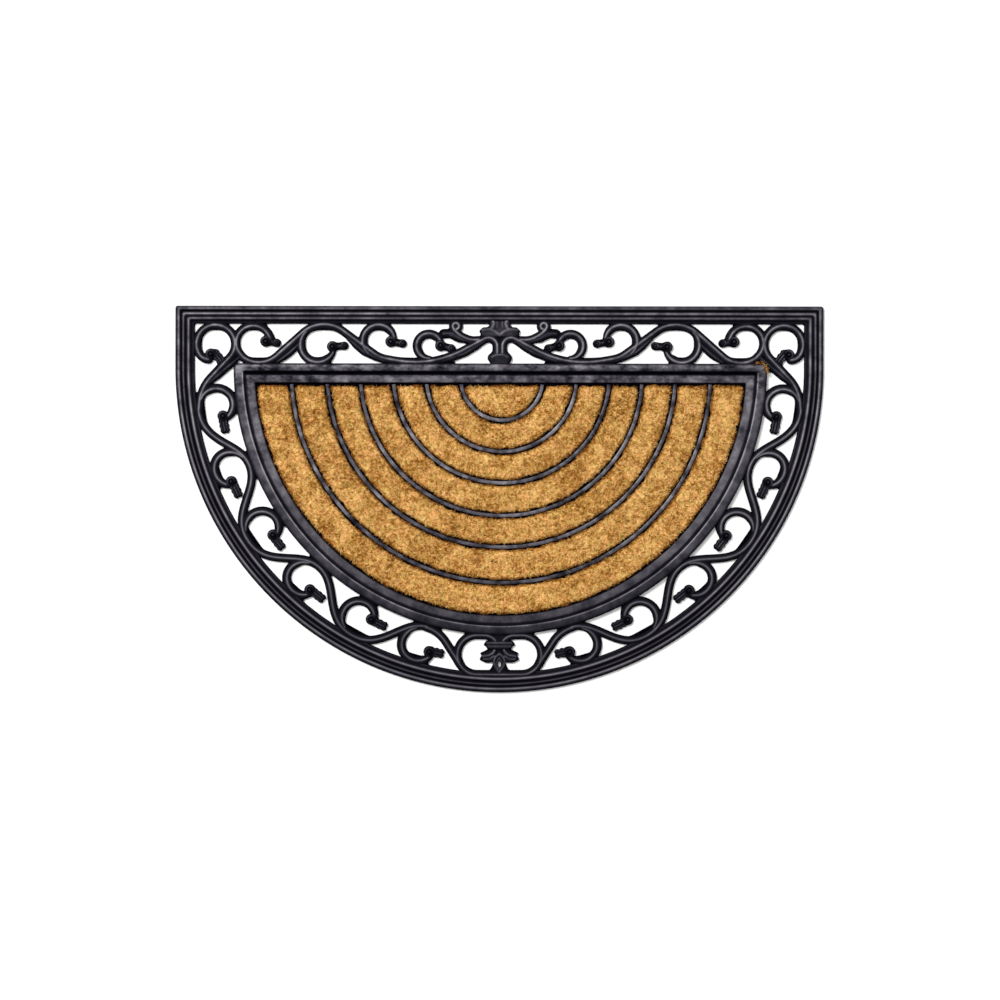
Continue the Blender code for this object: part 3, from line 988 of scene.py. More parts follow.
@dataclass(frozen=True)
class CoirFinish:
    """Dry coir: each fibre has its own tint, and clumps and patches are paler or browner.

    It is darker near each field's edge: painted shade in the gaps beside the ribs and rims, and
    partly browner coir there.
    """

    name: str
    plain_tint: float = 0.0
    pale: Colour = (0.94, 0.68, 0.30)
    golden: Colour = (0.67, 0.400, 0.114)
    brown: Colour = (0.43, 0.180, 0.021)
    dark: Colour = (0.18, 0.060, 0.004)
    green_cast: Colour = (0.99, 1.02, 0.89)
    red_cast: Colour = (1.07, 0.98, 0.96)
    patch_cells: float = 55.0
    cast_cells: float = 150.0
    clump_cells: float = 260.0
    clump_depth: float = 0.0006
    tint_weight: float = 1.05
    patch_weight: float = 1.35
    clump_weight: float = 1.30
    # How much darker the coir is near the field's edge: painted shade, and partly browner coir
    edge_shade_weight: float = 0.46
    darkening: float = 1.785
    edge_shade_rise: Pair = (0.0, 2.8)
    cast_rise: Pair = (0.36, 0.64)
    roughness: float = 0.9
    bump_strength: float = 0.4

    def build(self) -> bpy.types.Material:
        """Make the material.

        Returns:
            The material, which reads object coordinates, the fibres' tint and the edge's nearness.
        """
        shader = Shader(self.name)
        place = shader.place()
        tint = shader.attribute(TINT_ATTRIBUTE) + self.plain_tint
        inside = shader.attribute(DEPTH_ATTRIBUTE).rise(*self.edge_shade_rise)
        patches = shader.noise(place, self.patch_cells, 4.0, 0.62)
        clumps = shader.noise(place, self.clump_cells, 2.0, 0.6)
        # Darker near the field's edge: painted shade in the gaps, and partly browner coir.
        shade = tint * self.tint_weight + patches * self.patch_weight
        shade = shade + clumps * self.clump_weight + inside * self.edge_shade_weight - self.darkening
        stops = ((0.0, self.dark), (0.28, self.brown), (0.56, self.golden), (1.0, self.pale))
        colour = shader.node(
            "ShaderNodeValToRGB", {"stops": stops}, {"Fac": shade}, output="Color"
        )
        ripeness = shader.noise(place, self.cast_cells, 2.0, 0.5).rise(*self.cast_rise)
        warmth = shader.mix(ripeness, (*self.green_cast, 1.0), (*self.red_cast, 1.0))
        colour = shader.node(
            "ShaderNodeVectorMath",
            {"operation": "MULTIPLY"},
            {"Vector": colour, "Vector_001": warmth},
        )
        return shader.surface({
            "Base Color": colour,
            "Roughness": self.roughness,
            "Specular IOR Level": 0.2,
            "Normal": shader.bump(clumps, self.clump_depth, self.bump_strength),
        })


@dataclass(frozen=True)
class FloorFinish:
    """A plain white studio floor."""

    name: str = "studio_floor"
    colour: Colour = (0.94, 0.94, 0.935)
    roughness: float = 0.95

    def build(self) -> bpy.types.Material:
        """Make the material."""
        shader = Shader(self.name)
        return shader.surface({"Base Color": (*self.colour, 1.0), "Roughness": self.roughness})


@dataclass
class Rims:
    """The ridged outer rim, and the stepped inner rim with the closed tray inside it."""

    outline: HalfRound
    smooth: RubberFinish = RubberFinish()
    mottled: RubberFinish = RubberFinish(
        "mottled_black_rubber", blotches=2.9, streaks=1.8, low_share=0.60, calm_share=0.6
    )
    outer_corner: float = 2.7
    outer_loss: float = 0.02
    inner_corner: float = 5.4
    inner_loss: float = 0.32
    cuts: int = 2
    sharp_angle: float = 60.0
    least_corner: float = 1.0
    side_share: float = 0.5
    side_low: float = 100.0
    side_run: float = 90.0
    squeeze_from: float = 67.0
    squeeze_run: float = 23.0

    def build(self) -> list[bpy.types.Object]:
        """Make both rims; the inner one is mottled and fades more towards the arc's bottom.

        Returns:
            The outer rim and the inner rim.
        """
        outer = self._sweep(
            "rubber_outer_rim", OUTER_RIM, Ends.RING, self.outer_corner, self.outer_loss
        )
        inner = self._sweep(
            "rubber_inner_rim", INNER_RIM, Ends.CAPPED, self.inner_corner, self.inner_loss
        )
        outer.data.materials.append(self.smooth.build())
        inner.data.materials.append(self.mottled.build())
        return [outer, inner]

    def _sweep(
        self, name: str, rows: Sequence[RimRow], ends: Ends, first_corner: float, loss: float
    ) -> bpy.types.Object:
        """Sweep a rim's section round the outline.

        Args:
            name: The piece's name.
            rows: The section's lines, from its outer foot inwards.
            ends: How the sweep closes.
            first_corner: The outermost line's corner radius.
            loss: How much smaller the radius is for each millimetre further in.

        Returns:
            The piece.
        """
        section = soften(np.array(rows), self.cuts)
        loops = []
        painted_lights = []
        for from_arc, from_straight, height, arc_light, straight_light in section:
            further_in = from_straight - rows[0].from_straight
            corner = max(first_corner - further_in * loss, self.least_corner)
            line = self.outline.outline(from_arc, from_straight, corner)
            inward = ramp(from_arc, self.squeeze_from, self.squeeze_run) * INNER_SQUEEZE
            line[:, 0] *= 1.0 - inward / (self.outline.radius - from_arc)
            line[:, 0] += INNER_SHIFT if from_arc > OUTER_RIM[-1].from_arc else 0.0
            loops.append(np.column_stack((line, np.full(len(line), height))))
            # Painted light: the arc's values round the arc, the straight edge's along it, and part
            # of the straight edge's up the straight sides.
            on_top = line[:, 1] > self.outline.top - from_straight - corner
            rise = ramp(line[:, 1], self.side_low, self.side_run) * self.side_share
            share = np.where(on_top, 1.0, rise)
            painted_lights.append(arc_light + (straight_light - arc_light) * share)
        piece = loft(name, np.array(loops), ends, self.sharp_angle)
        store(piece.data, PAINTED_LIGHT_ATTRIBUTE, np.array(painted_lights))
        return piece


@dataclass(frozen=True)
class KnobForm:
    """A coiled knob's form: its groove and its coil stand at shares of its radius."""

    edge_run: float = 0.8
    skirt_fall: float = 4.0
    lowest: float = -9.0
    groove_place: float = 0.43
    groove_depth: float = 1.3
    eye_highlight: float = 0.55
    eye_spread: float = 1.2
    coil_highlight: float = 0.68
    coil_place: float = 0.72
    coil_spread: float = 0.17
    even_light: float = 0.55
    side_light: float = 0.45
    diagonal: float = 1.42
    least_away: float = 0.1


@dataclass(frozen=True)
class LeafForm:
    """A blunt leaf's form: its steps, depths and widths are shares of its length or width."""

    squareness: float = 4.0
    frill_step: float = 0.62
    frill_depth: float = 0.09
    braid_step: float = 0.31
    vein_step: float = 0.66
    notch_width: float = 0.3
    notch_depth: float = 0.10
    edge_run: float = 0.35
    lowest: float = -3.0
    plain_share: float = 0.55
    vein_share: float = 0.45
    flat_light: float = 0.14
    vein_highlight: float = 0.72
    light_run: float = 0.3


@dataclass
class Relief:
    """A relief on a grid: how deep each point is inside the outline, and how high it stands."""

    low: Point
    high: Point
    pitch: float
    floor: float = 0.0
    outline_fillet: float = 1.7
    height_fillet: float = 0.9
    shoulder: float = 3.3
    sharp_angle: float = 50.0
    measured_past: float = 4.0
    blunt: float = 0.22
    flank_light: float = 0.20
    flank_run: float = 0.4
    crest_highlight: float = 0.76
    crest_spread: float = 0.27
    ridge_flank: float = 1 / 1.9
    bevel: float = 1.8
    bevel_fall: float = 0.55
    plaque_reach: float = 16.0
    plaque_light_from: float = 0.8
    plaque_light_run: float = 1.5
    knob_form: KnobForm = KnobForm()
    leaf_form: LeafForm = LeafForm()
    least_cut: float = 0.08
    x: np.ndarray = field(init=False)
    y: np.ndarray = field(init=False)
    depth: np.ndarray = field(init=False)
    height: np.ndarray = field(init=False)
    painted_light: np.ndarray = field(init=False)

    def __post_init__(self) -> None:
        """Lay out the grid; its last column stands on the high X, for a mirror to join it."""
        columns = math.ceil((self.high[0] - self.low[0]) / self.pitch)
        rows = math.ceil((self.high[1] - self.low[1]) / self.pitch)
        across = self.high[0] - self.pitch * np.arange(columns + 1)[::-1]
        up = self.low[1] + self.pitch * np.arange(rows + 1)
        self.x, self.y = np.meshgrid(across, up)
        self.depth = np.full(self.x.shape, -FAR)
        self.height = np.full(self.x.shape, -FAR)
        self.painted_light = np.zeros(self.x.shape)

    def add(self, depth: np.ndarray, height: np.ndarray, painted_light: np.ndarray) -> None:
        """Blend a shape into the relief.

        Args:
            depth: How deep each point is inside the shape.
            height: How high the shape stands there.
            painted_light: Its painted light there, from 0 for painted shade to 1 for a painted
                highlight.
        """
        self.depth = blend_max(self.depth, depth, self.outline_fillet)
        self.height = blend_max(self.height, height, self.height_fillet)
        self.painted_light = np.maximum(self.painted_light, painted_light)

    def nearest(
        self, path: Sequence[Point], half: float
    ) -> tuple[np.ndarray, np.ndarray, np.ndarray]:
        """Measure the way to a path, near it.

        Args:
            path: The path's points.
            half: The bar's half width, past which nothing needs to be exact.

        Returns:
            Each grid point's distance from the path, its sign, which is 1 on the left of the
            path, and how far along the path its nearest point is.
        """
        distance = np.full(self.x.shape, FAR)
        side = np.ones(self.x.shape)
        along = np.zeros(self.x.shape)
        points = np.array(path)
        reached = np.concatenate(((0.0,), np.cumsum(np.hypot(*np.diff(points, axis=0).T))))
        chunk = 10
        for start in range(0, len(points) - 1, chunk):
            piece = points[start : start + chunk + 1]
            low = piece.min(axis=0) - half - self.measured_past
            high = piece.max(axis=0) + half + self.measured_past
            columns = slice(*np.searchsorted(self.x[0], (low[0], high[0])))
            rows = slice(*np.searchsorted(self.y[:, 0], (low[1], high[1])))
            x = self.x[rows, columns]
            y = self.y[rows, columns]
            if not x.size:
                continue
            near = distance[rows, columns]
            hand = side[rows, columns]
            way = along[rows, columns]
            for (ax, ay), (bx, by), passed in zip(piece, piece[1:], reached[start:]):
                run = (bx - ax) ** 2 + (by - ay) ** 2
                if run < 1e-9:
                    continue
                share = np.clip(((x - ax) * (bx - ax) + (y - ay) * (by - ay)) / run, 0.0, 1.0)
                away = np.hypot(x - ax - share * (bx - ax), y - ay - share * (by - ay))
                closer = away < near
                near[closer] = away[closer]
                left = np.sign((bx - ax) * (y - ay) - (by - ay) * (x - ax))
                hand[closer] = left[closer]
                way[closer] = passed + share[closer] * math.sqrt(run)
        return distance, side, along

    def bar(
        self,
        path: Sequence[Point],
        half: float,
        crest: float,
        lean: float = 0.0,
        painted_light: float = 1.0,
        taper: float = 0.0,
    ) -> None:
        """Add a ridged bar along a path.

        Args:
            path: The bar's middle line.
            half: Its half width.
            crest: The ridge's height.
            lean: How far the ridge stands to the left of the middle line.
            painted_light: How strong the ridge's painted highlight is.
            taper: The length over which it swells from half its width at each end.
        """
        distance, side, along = self.nearest(path, half)
        if taper:
            total = sum(math.dist(here, there) for here, there in zip(path, path[1:]))
            half = half * (0.5 + 0.5 * ramp(np.minimum(along, total - along), 0.0, taper))
        lateral = distance * side
        span = np.where(lateral > lean, half - lean, half + lean)
        share = np.abs(lateral - lean) / span
        whole_fall = math.hypot(1.0, self.blunt) - self.blunt
        fall = (np.hypot(share, self.blunt) - self.blunt) / whole_fall
        height = crest - (crest - self.shoulder) * fall
        # Painted light across the bar: a painted highlight along the crest, dimmer painted light
        # on the flanks, and painted shade at its edges.
        flank = self.flank_light * ramp(1.0 - share, 0.0, self.flank_run)
        painted_light_level = flank + self.crest_highlight * bell(share, 0.0, self.crest_spread)
        self.add(half - distance, height, painted_light * painted_light_level)

    def ridge(self, ridge: Ridge) -> None:
        """Raise a narrow ridge on what is there, without changing its outline.

        Args:
            ridge: The ridge.
        """
        distance, _, _ = self.nearest(ridge.path, ridge.half)
        share = distance / ridge.half
        height = ridge.crest - (ridge.crest - self.shoulder) * np.minimum(share, 3.0)
        self.height = blend_max(self.height, height, self.height_fillet)
        # The ridge's painted highlight.
        self.painted_light = np.maximum(self.painted_light, ridge.painted_light * ramp(1.0 - share, 0.0, self.ridge_flank))

    def knob(self, place: Point, radius: float, crest: float) -> None:
        """Add a coiled knob: a domed button with a small eye and a groove round the eye.

        The eye and the coil carry painted highlights, the coil's brighter on its upper-left side,
        as lit from there, and the groove between them has painted shade.

        Args:
            place: Its centre.
            radius: Its radius.
            crest: Its height.
        """
        form = self.knob_form
        away = np.hypot(self.x - place[0], self.y - place[1])
        share = away / radius
        skirt = np.maximum(share - 1.0, 0.0) * form.skirt_fall
        dome = np.sqrt(np.maximum(1.0 - share * share, 0.0)) - skirt
        groove = bell(away, form.groove_place * radius, form.edge_run)
        height = self.shoulder + (crest - self.shoulder) * np.maximum(dome, form.lowest)
        self.add(radius - away, height, np.zeros(share.shape))
        inside = ramp(radius - away, 0.0, form.edge_run)
        self.height = self.height - form.groove_depth * groove * inside
        # Painted light: highlights on the eye and the coil, brighter on the coil's upper-left
        # side, and painted shade in the groove between them.
        up_left = self.y - place[1] - self.x + place[0]
        lit = form.side_light * up_left / np.maximum(away, form.least_away) / form.diagonal
        facing = form.even_light + lit
        eye = form.eye_highlight * bell(away, 0.0, form.eye_spread)
        coil = form.coil_highlight * facing * bell(share, form.coil_place, form.coil_spread)
        self.painted_light = self.painted_light * (1.0 - inside) + (eye + coil) * inside

    def leaf(self, place: Point, length: float, width: float, tilt: float, crest: float) -> None:
        """Add a blunt leaf with a frilled edge and ribs along it.

        Args:
            place: Its centre.
            length: Its half length.
            width: Its half width.
            tilt: Its tilt in degrees.
            crest: Its height.
        """
        form = self.leaf_form
        along, across = turned(self.x - place[0], self.y - place[1], tilt)
        frills = np.cos(2 * math.pi * along / (form.frill_step * length))
        frill = width * (1.0 + form.frill_depth * frills)
        notch = bell(across, 0.0, form.notch_width * width)
        tip = length * (1.0 - form.notch_depth * notch)
        share = np.abs(along / tip) ** form.squareness + np.abs(across / frill) ** form.squareness
        share = share ** (1 / form.squareness)
        veins = 0.5 + 0.5 * np.cos(2 * math.pi * across / (form.vein_step * width))
        braid = 0.75 + 0.25 * np.cos(2 * math.pi * along / (form.braid_step * length))
        ease = np.clip((1.0 - share) / form.edge_run, form.lowest, 1.0)
        rise = form.plain_share * ease + form.vein_share * veins * np.maximum(ease, 0.0)
        height = self.shoulder + (crest - self.shoulder) * rise
        # Painted highlights along the leaf's ribs, dimmer painted light between them, and painted
        # shade at its edge.
        painted_light_level = form.flat_light + form.vein_highlight * veins**2 * braid
        painted_light = painted_light_level * ramp(1.0 - share, 0.0, form.light_run)
        self.add((1.0 - share) * min(length, width), height, painted_light)

    def plaque(self, plaque: Plaque) -> None:
        """Add a flat-topped block with soft corners and bevelled edges.

        Args:
            plaque: The block; its corners past the middle line aren't seen.
        """
        path = [tuple(point) for point in soften(np.array(plaque.corners), 2)]
        path.append(path[0])
        distance, _, _ = self.nearest(path, self.plaque_reach)
        within = np.zeros(self.x.shape, dtype=bool)
        for (ax, ay), (bx, by) in zip(path, path[1:]):
            if ay == by:
                continue
            crossing = ax + (self.y - ay) * (bx - ax) / (by - ay)
            within ^= ((ay > self.y) != (by > self.y)) & (self.x < crossing)
        depth = np.where(within, distance, -distance)
        ease = np.maximum(self.bevel - depth, 0.0)
        height = plaque.top - ease * ease * self.bevel_fall
        # Painted light on the top, with painted shade at its bevelled edge.
        painted_light_level = ramp(depth, self.plaque_light_from, self.plaque_light_run)
        self.add(depth, height, plaque.painted_light * painted_light_level)

    def web(self, contact: Contact) -> None:
        """Add a low web along a rim, narrower at its far side.

        Args:
            contact: The stretch of rim.
        """
        reach = 7.0
        under_rim = 2.5
        start = np.array((contact.start_x, contact.start_y))
        end = np.array((contact.end_x, contact.end_y))
        along = (end - start) / np.linalg.norm(end - start)
        inward = np.array((-along[1], along[0]))
        corners = [
            start - inward * under_rim,
            end - inward * under_rim,
            end - along * reach + inward * reach,
            start + along * reach + inward * reach,
        ]
        depth = np.full(self.x.shape, FAR)
        for (ax, ay), (bx, by) in zip(corners, corners[1:] + corners[:1]):
            run = math.hypot(bx - ax, by - ay)
            side = ((bx - ax) * (self.y - ay) - (by - ay) * (self.x - ax)) / run
            depth = np.minimum(depth, side)
        height = np.where(depth > -self.measured_past, self.shoulder, -FAR)
        # The web gets no painted light: it shows the near-black painted shade of a low part.
        self.add(depth, height, np.zeros(depth.shape))

    def slit(self, x: float, y: float, half_width: float, half_length: float) -> None:
        """Cut an upright oval slit.

        Args:
            x: Its centre's X.
            y: Its centre's Y.
            half_width: Its half width.
            half_length: Its half length.
        """
        share = np.hypot((self.x - x) / half_width, (self.y - y) / half_length)
        self.depth = np.minimum(self.depth, (share - 1.0) * half_width)

    def whole(self) -> "Relief":
        """Return the relief with its mirror image joined on."""
        both = copy.copy(self)
        both.x = np.hstack((self.x, -self.x[:, -2::-1]))
        for name in ("y", "depth", "height", "painted_light"):
            half = getattr(self, name)
            setattr(both, name, np.hstack((half, half[:, -2::-1])))
        return both

    def mesh(self, name: str, attribute: str = PAINTED_LIGHT_ATTRIBUTE) -> bpy.types.Object:
        """Cut the relief out along its outline and close it down to the floor.

        Args:
            name: The piece's name.
            attribute: What the numbers kept with the mesh are called.

        Returns:
            A closed piece with a flat underside.
        """
        inside = self.depth > 0.0
        rows, columns = inside.shape
        number = np.full((3, rows, columns), -1)
        points = []
        total = 0
        grid = np.stack((self.x, self.y, self.height, self.painted_light), axis=-1)
        number[0][inside] = np.arange(inside.sum())
        points.append(grid[inside])
        total += int(inside.sum())
        for layer, (down, right) in ((1, (0, 1)), (2, (1, 0))):
            near = (slice(0, rows - down), slice(0, columns - right))
            far = (slice(down, rows), slice(right, columns))
            cross = inside[near] != inside[far]
            share = self.depth[near] / np.where(cross, self.depth[near] - self.depth[far], 1.0)
            share = np.clip(share[cross], self.least_cut, 1.0 - self.least_cut)[:, None]
            points.append(grid[near][cross] * (1 - share) + grid[far][cross] * share)
            number[layer][near][cross] = total + np.arange(cross.sum())
            total += int(cross.sum())
        return self._close(name, attribute, np.vstack(points), number)

    def _close(
        self, name: str, attribute: str, points: np.ndarray, number: np.ndarray
    ) -> bpy.types.Object:
        """Make the top faces, the walls and the underside.

        Args:
            name: The piece's name.
            attribute: What the points' last number is called.
            points: The top's points, each with one more number.
            number: The point numbers of the grid's nodes, and of its edges across and up.

        Returns:
            The piece.
        """
        nodes, across, up = number
        slots = np.stack((
            nodes[:-1, :-1], across[:-1, :-1], nodes[:-1, 1:], up[:-1, 1:],
            nodes[1:, 1:], across[1:, :-1], nodes[1:, :-1], up[:-1, :-1],
        ), axis=-1).reshape(-1, 8)
        corners = slots[:, ::2]
        full = (corners >= 0).all(axis=1)
        faces: list[Sequence[int]] = corners[full].tolist()
        border: list[tuple[int, int]] = []
        mixed = (slots >= 0).any(axis=1) & ~full
        for row in slots[mixed].tolist():
            ring = [(index, slot) for index, slot in enumerate(row) if slot >= 0]
            faces.append([slot for _, slot in ring])
            for (index, slot), (after, following) in zip(ring, ring[1:] + ring[:1]):
                if index % 2 and after % 2:
                    border.append((slot, following))
        rim = sorted({slot for pair in border for slot in pair})
        lower = {slot: len(points) + index for index, slot in enumerate(rim)}
        foot = points[rim] * (1.0, 1.0, 0.0, 0.0) + (0.0, 0.0, self.floor, 0.0)
        order = {slot: index for index, slot in enumerate(rim)}
        edges = [(order[a], order[b]) for a, b in border]
        flat = [Vector(point[:2]) for point in foot.tolist()]
        whole_hull = 0
        _, _, made, origins, _, _ = delaunay_2d_cdt(flat, edges, [], whole_hull, 1e-6)
        triangles = [[origins[corner][0] for corner in triangle] for triangle in made]
        for triangle in keep_inside(triangles, edges):
            faces.append([lower[rim[corner]] for corner in reversed(triangle)])
        faces += [(b, a, lower[a], lower[b]) for a, b in border]
        whole = np.vstack((points, foot))
        piece = make_piece(name, whole[:, :3], faces)
        store(piece.data, attribute, whole[:, 3])
        finish_mesh(piece.data, self.sharp_angle, recalculate=False)
        return piece


@dataclass
class ScrollBorder:
    """The openwork border: vines, rings with knobs and leaves, webs and the middle ornaments."""

    outline: HalfRound
    finish: RubberFinish = RubberFinish("scroll_black_rubber", low_share=0.70)
    radius: float = 330.0
    first_station: float = 8.0
    pitch: float = 13.28
    lobes: int = 6
    wave_height: float = 22.0
    wave_flattening: float = 0.04
    wave_delay: float = 0.35
    wave_lift: float = 2.45
    wave_fullness: float = 0.75
    lift_start: float = 0.15
    lift_run: float = 45.0
    steps_a_lobe: int = 44
    half_channel: float = 22.3
    outer_web: Pair = (-21.5, 22.0)
    inner_web: Pair = (-18.5, 14.0)
    vine_half: float = 4.9
    corner_headings: Pair = (180.0, 270.0)
    bottom_ring_headings: Pair = (115.0, -50.0)
    top_headings: Pair = (102.0, -90.0)
    ring: Branch = Branch(-3.5, 0.0, 19.4, 115.0, 345.0)
    ring_half: float = 5.2
    ring_lean: float = 0.9
    ring_taper: float = 14.0
    lean: float = 0.8
    arm_half: float = 4.0
    arm_taper: float = 12.0
    arm_crest: float = 5.4
    # How strong the painted highlight on the low arms and the stalks is
    arm_light: float = 0.5
    crest: float = 7.0
    knob_place: Point = (10.5, -5.0)
    knob_radius: float = 6.4
    knob_crest: float = 6.8
    bud_radius: float = 4.5
    bud_crest: float = 6.3
    stalk_half: float = 4.3
    stalk_crest: float = 5.6
    leaf_along: float = 21.2
    leaf_place: Point = (0.7, -4.2)
    leaf_length: float = 9.5
    leaf_width: float = 5.2
    leaf_crest: float = 6.2
    last_leaf_step: float = 3.0
    corner_leaf_tilt: float = -52.0
    curl: Branch = Branch(-50.8, 200.1, 3.7, 195.0, -75.0)
    curl_half: float = 4.4
    tail_half: float = 5.4
    tail_crest: float = 6.0
    # How strong the painted highlight on the curl's tail is
    tail_light: float = 0.45
    eye_slit: tuple[float, ...] = (0.0, -191.1, 1.6, 3.6)
    lap: float = 2.2
    outer_lap: float = 4.2
    flush_height: float = 4.5
    flush_rise: float = 1.6
    shift: float = 0.4
    pitch_of_grid: float = 0.85

    def build(self) -> bpy.types.Object:
        """Make the border.

        Returns:
            The border as one closed piece.
        """
        low = (-self.outline.radius, -self.outline.top)
        relief = Relief(low, (0.0, self.outline.top), self.pitch_of_grid)
        self._vines(relief)
        for index in range(self.lobes):
            self._lobe(relief, index)
        self._straight_border(relief)
        self._top_ornament(relief)
        self._bottom_ornament(relief)
        self._trim(relief)
        both = relief.whole()
        both.x = both.x + self.shift
        both.plaque(CORNER_GAP_FILL)
        piece = both.mesh("rubber_scroll_border")
        piece.data.materials.append(self.finish.build())
        return piece

    def _trim(self, relief: Relief) -> None:
        """Keep only the channel between the rims, and a lap under each of them.

        Args:
            relief: The relief.
        """
        from_arc, from_straight = self.outline.insets(relief.x, relief.y)
        last = OUTER_RIM[-1]
        first = INNER_RIM[0]
        outer = np.minimum(from_arc - last.from_arc, from_straight - last.from_straight)
        inner = np.maximum(first.from_arc - from_arc, first.from_straight - from_straight)
        channel = np.minimum(outer + self.outer_lap, inner + self.lap)
        flush = self.flush_height + np.maximum(outer + self.outer_lap, 0.0) * self.flush_rise
        relief.depth = np.minimum(relief.depth, channel)
        relief.height = np.clip(relief.height, relief.shoulder, flush)

    def _border_point(self, station: float, along: float, out: float) -> Point:
        """Place a point of the curved border's left half.

        Args:
            station: A station's angle in degrees.
            along: The distance along the border from the station.
            out: The distance out from the border's middle line.

        Returns:
            The point.
        """
        angle = math.radians(station) + along / self.radius
        away = self.radius + out
        return (-away * math.cos(angle), self.outline.centre_y - away * math.sin(angle))

    def _wave(self, along: float) -> float:
        """Return how far out the vine runs at a distance from the first station."""
        phase = math.pi * (along - self.wave_delay) / (self.radius * math.radians(self.pitch))
        swing = self.wave_height * (math.cos(phase) - self.wave_flattening * math.cos(3 * phase))
        lift = self.wave_lift - self.wave_fullness * math.cos(2 * phase)
        return swing + lift * min(1.0, self.lift_start + along / self.lift_run)

    def _vines(self, relief: Relief) -> None:
        """Add the vine round the mat, the bottom ring and the straight border's vine."""
        turns = self.lobes - 1
        length = self.radius * math.radians(self.pitch) * turns
        path = belt(CORNER_CIRCLES, *self.corner_headings)
        for along in np.linspace(0.0, length, self.steps_a_lobe * turns):
            path.append(self._border_point(self.first_station, along, self._wave(along)))
        heading = self.first_station + self.pitch * turns - 90.0
        path += belt(BOTTOM_CIRCLES, heading, 0.0) + [VINE_BOTTOM_END]
        relief.bar(path, self.vine_half, self.crest)
        ring = belt(BOTTOM_RING, *self.bottom_ring_headings)
        relief.bar(ring, self.vine_half, self.crest)
        path = belt(TOP_CIRCLES, *self.top_headings) + [VINE_TOP_END]
        relief.bar(path, self.vine_half, self.crest, self.lean)

    def _foot(self, relief: Relief, knob: Point, leaf: Point, tilt: float) -> None:
        """Add the knob and the leaf that end a ring.

        Args:
            relief: The relief.
            knob: The knob's centre.
            leaf: The leaf's centre.
            tilt: The leaf's tilt in degrees.
        """
        relief.leaf(leaf, self.leaf_length, self.leaf_width, tilt, self.leaf_crest)
        relief.knob(knob, self.knob_radius, self.knob_crest)

    def _lobe(self, relief: Relief, index: int) -> None:
        """Add the ring, knob, leaf and webs of one lobe of the curved border.

        Args:
            relief: The relief.
            index: The lobe's number from the top.
        """
        station = self.first_station + self.pitch * index
        side = 1 if index % 2 == 0 else -1
        ahead, away = LOBE_SHIFTS[index]

        def place(along: float, out: float) -> Point:
            """Place a point of the lobe."""
            return self._border_point(station, along + ahead, out * side + away)

        ring = [place(*point) for point in arc(*self.ring)]
        relief.bar(ring, self.ring_half, self.crest, -self.ring_lean * side, taper=self.ring_taper)
        leaf_along = self.leaf_along
        if index == self.lobes - 1:
            leaf_along -= self.last_leaf_step
        tilt = station + math.degrees(leaf_along / self.radius) - 90.0
        leaf = place(leaf_along + self.leaf_place[0], self.leaf_place[1])
        self._foot(relief, place(*self.knob_place), leaf, tilt)
        for stretch, facing in ((self.outer_web, side), (self.inner_web, -side)):
            out = self.half_channel * facing
            start, end = (self._border_point(station, along, out) for along in stretch)
            relief.web(Contact(*start, *end) if facing > 0 else Contact(*end, *start))

    def _straight_border(self, relief: Relief) -> None:
        """Add the branches, feet, low arms and webs of the straight border."""
        for arm in LOW_ARMS:
            relief.bar(arm, self.arm_half, self.arm_crest, painted_light=self.arm_light, taper=self.arm_taper)
        for branch in TOP_BRANCHES:
            lean = self.lean if branch.end < branch.start else -self.lean
            relief.bar(arc(*branch), self.ring_half, self.crest, lean, taper=self.ring_taper)
        self._foot(relief, CORNER_KNOB, CORNER_LEAF, self.corner_leaf_tilt)
        for knob_x, knob_y, bud_x, bud_y in TOP_FEET:
            stalk = ((knob_x, knob_y), (bud_x, bud_y))
            relief.bar(stalk, self.stalk_half, self.stalk_crest, painted_light=self.arm_light)
            relief.knob((bud_x, bud_y), self.bud_radius, self.bud_crest)
            relief.knob((knob_x, knob_y), self.knob_radius, self.knob_crest)
        for contact in CONTACTS:
            relief.web(contact)

    def _top_ornament(self, relief: Relief) -> None:
        """Add the curls, plate, bracket and foot at the middle of the straight border."""
        stem = [tuple(point) for point in soften(np.array(CURL_STEM), 2)]
        relief.bar(CURL_TAIL, self.tail_half, self.tail_crest, painted_light=self.tail_light)
        relief.bar(stem + arc(*self.curl), self.curl_half, self.crest)
        for plaque in TOP_PLAQUES:
            relief.plaque(plaque)
        for ridge in TOP_RIDGES:
            relief.ridge(ridge)

    def _bottom_ornament(self, relief: Relief) -> None:
        """Add the collar, petals and pointed oval at the middle of the bottom."""
        for plaque in BOTTOM_PLAQUES:
            relief.plaque(plaque)
        for ridge in BOTTOM_RIDGES:
            relief.ridge(ridge)
        relief.slit(*self.eye_slit)


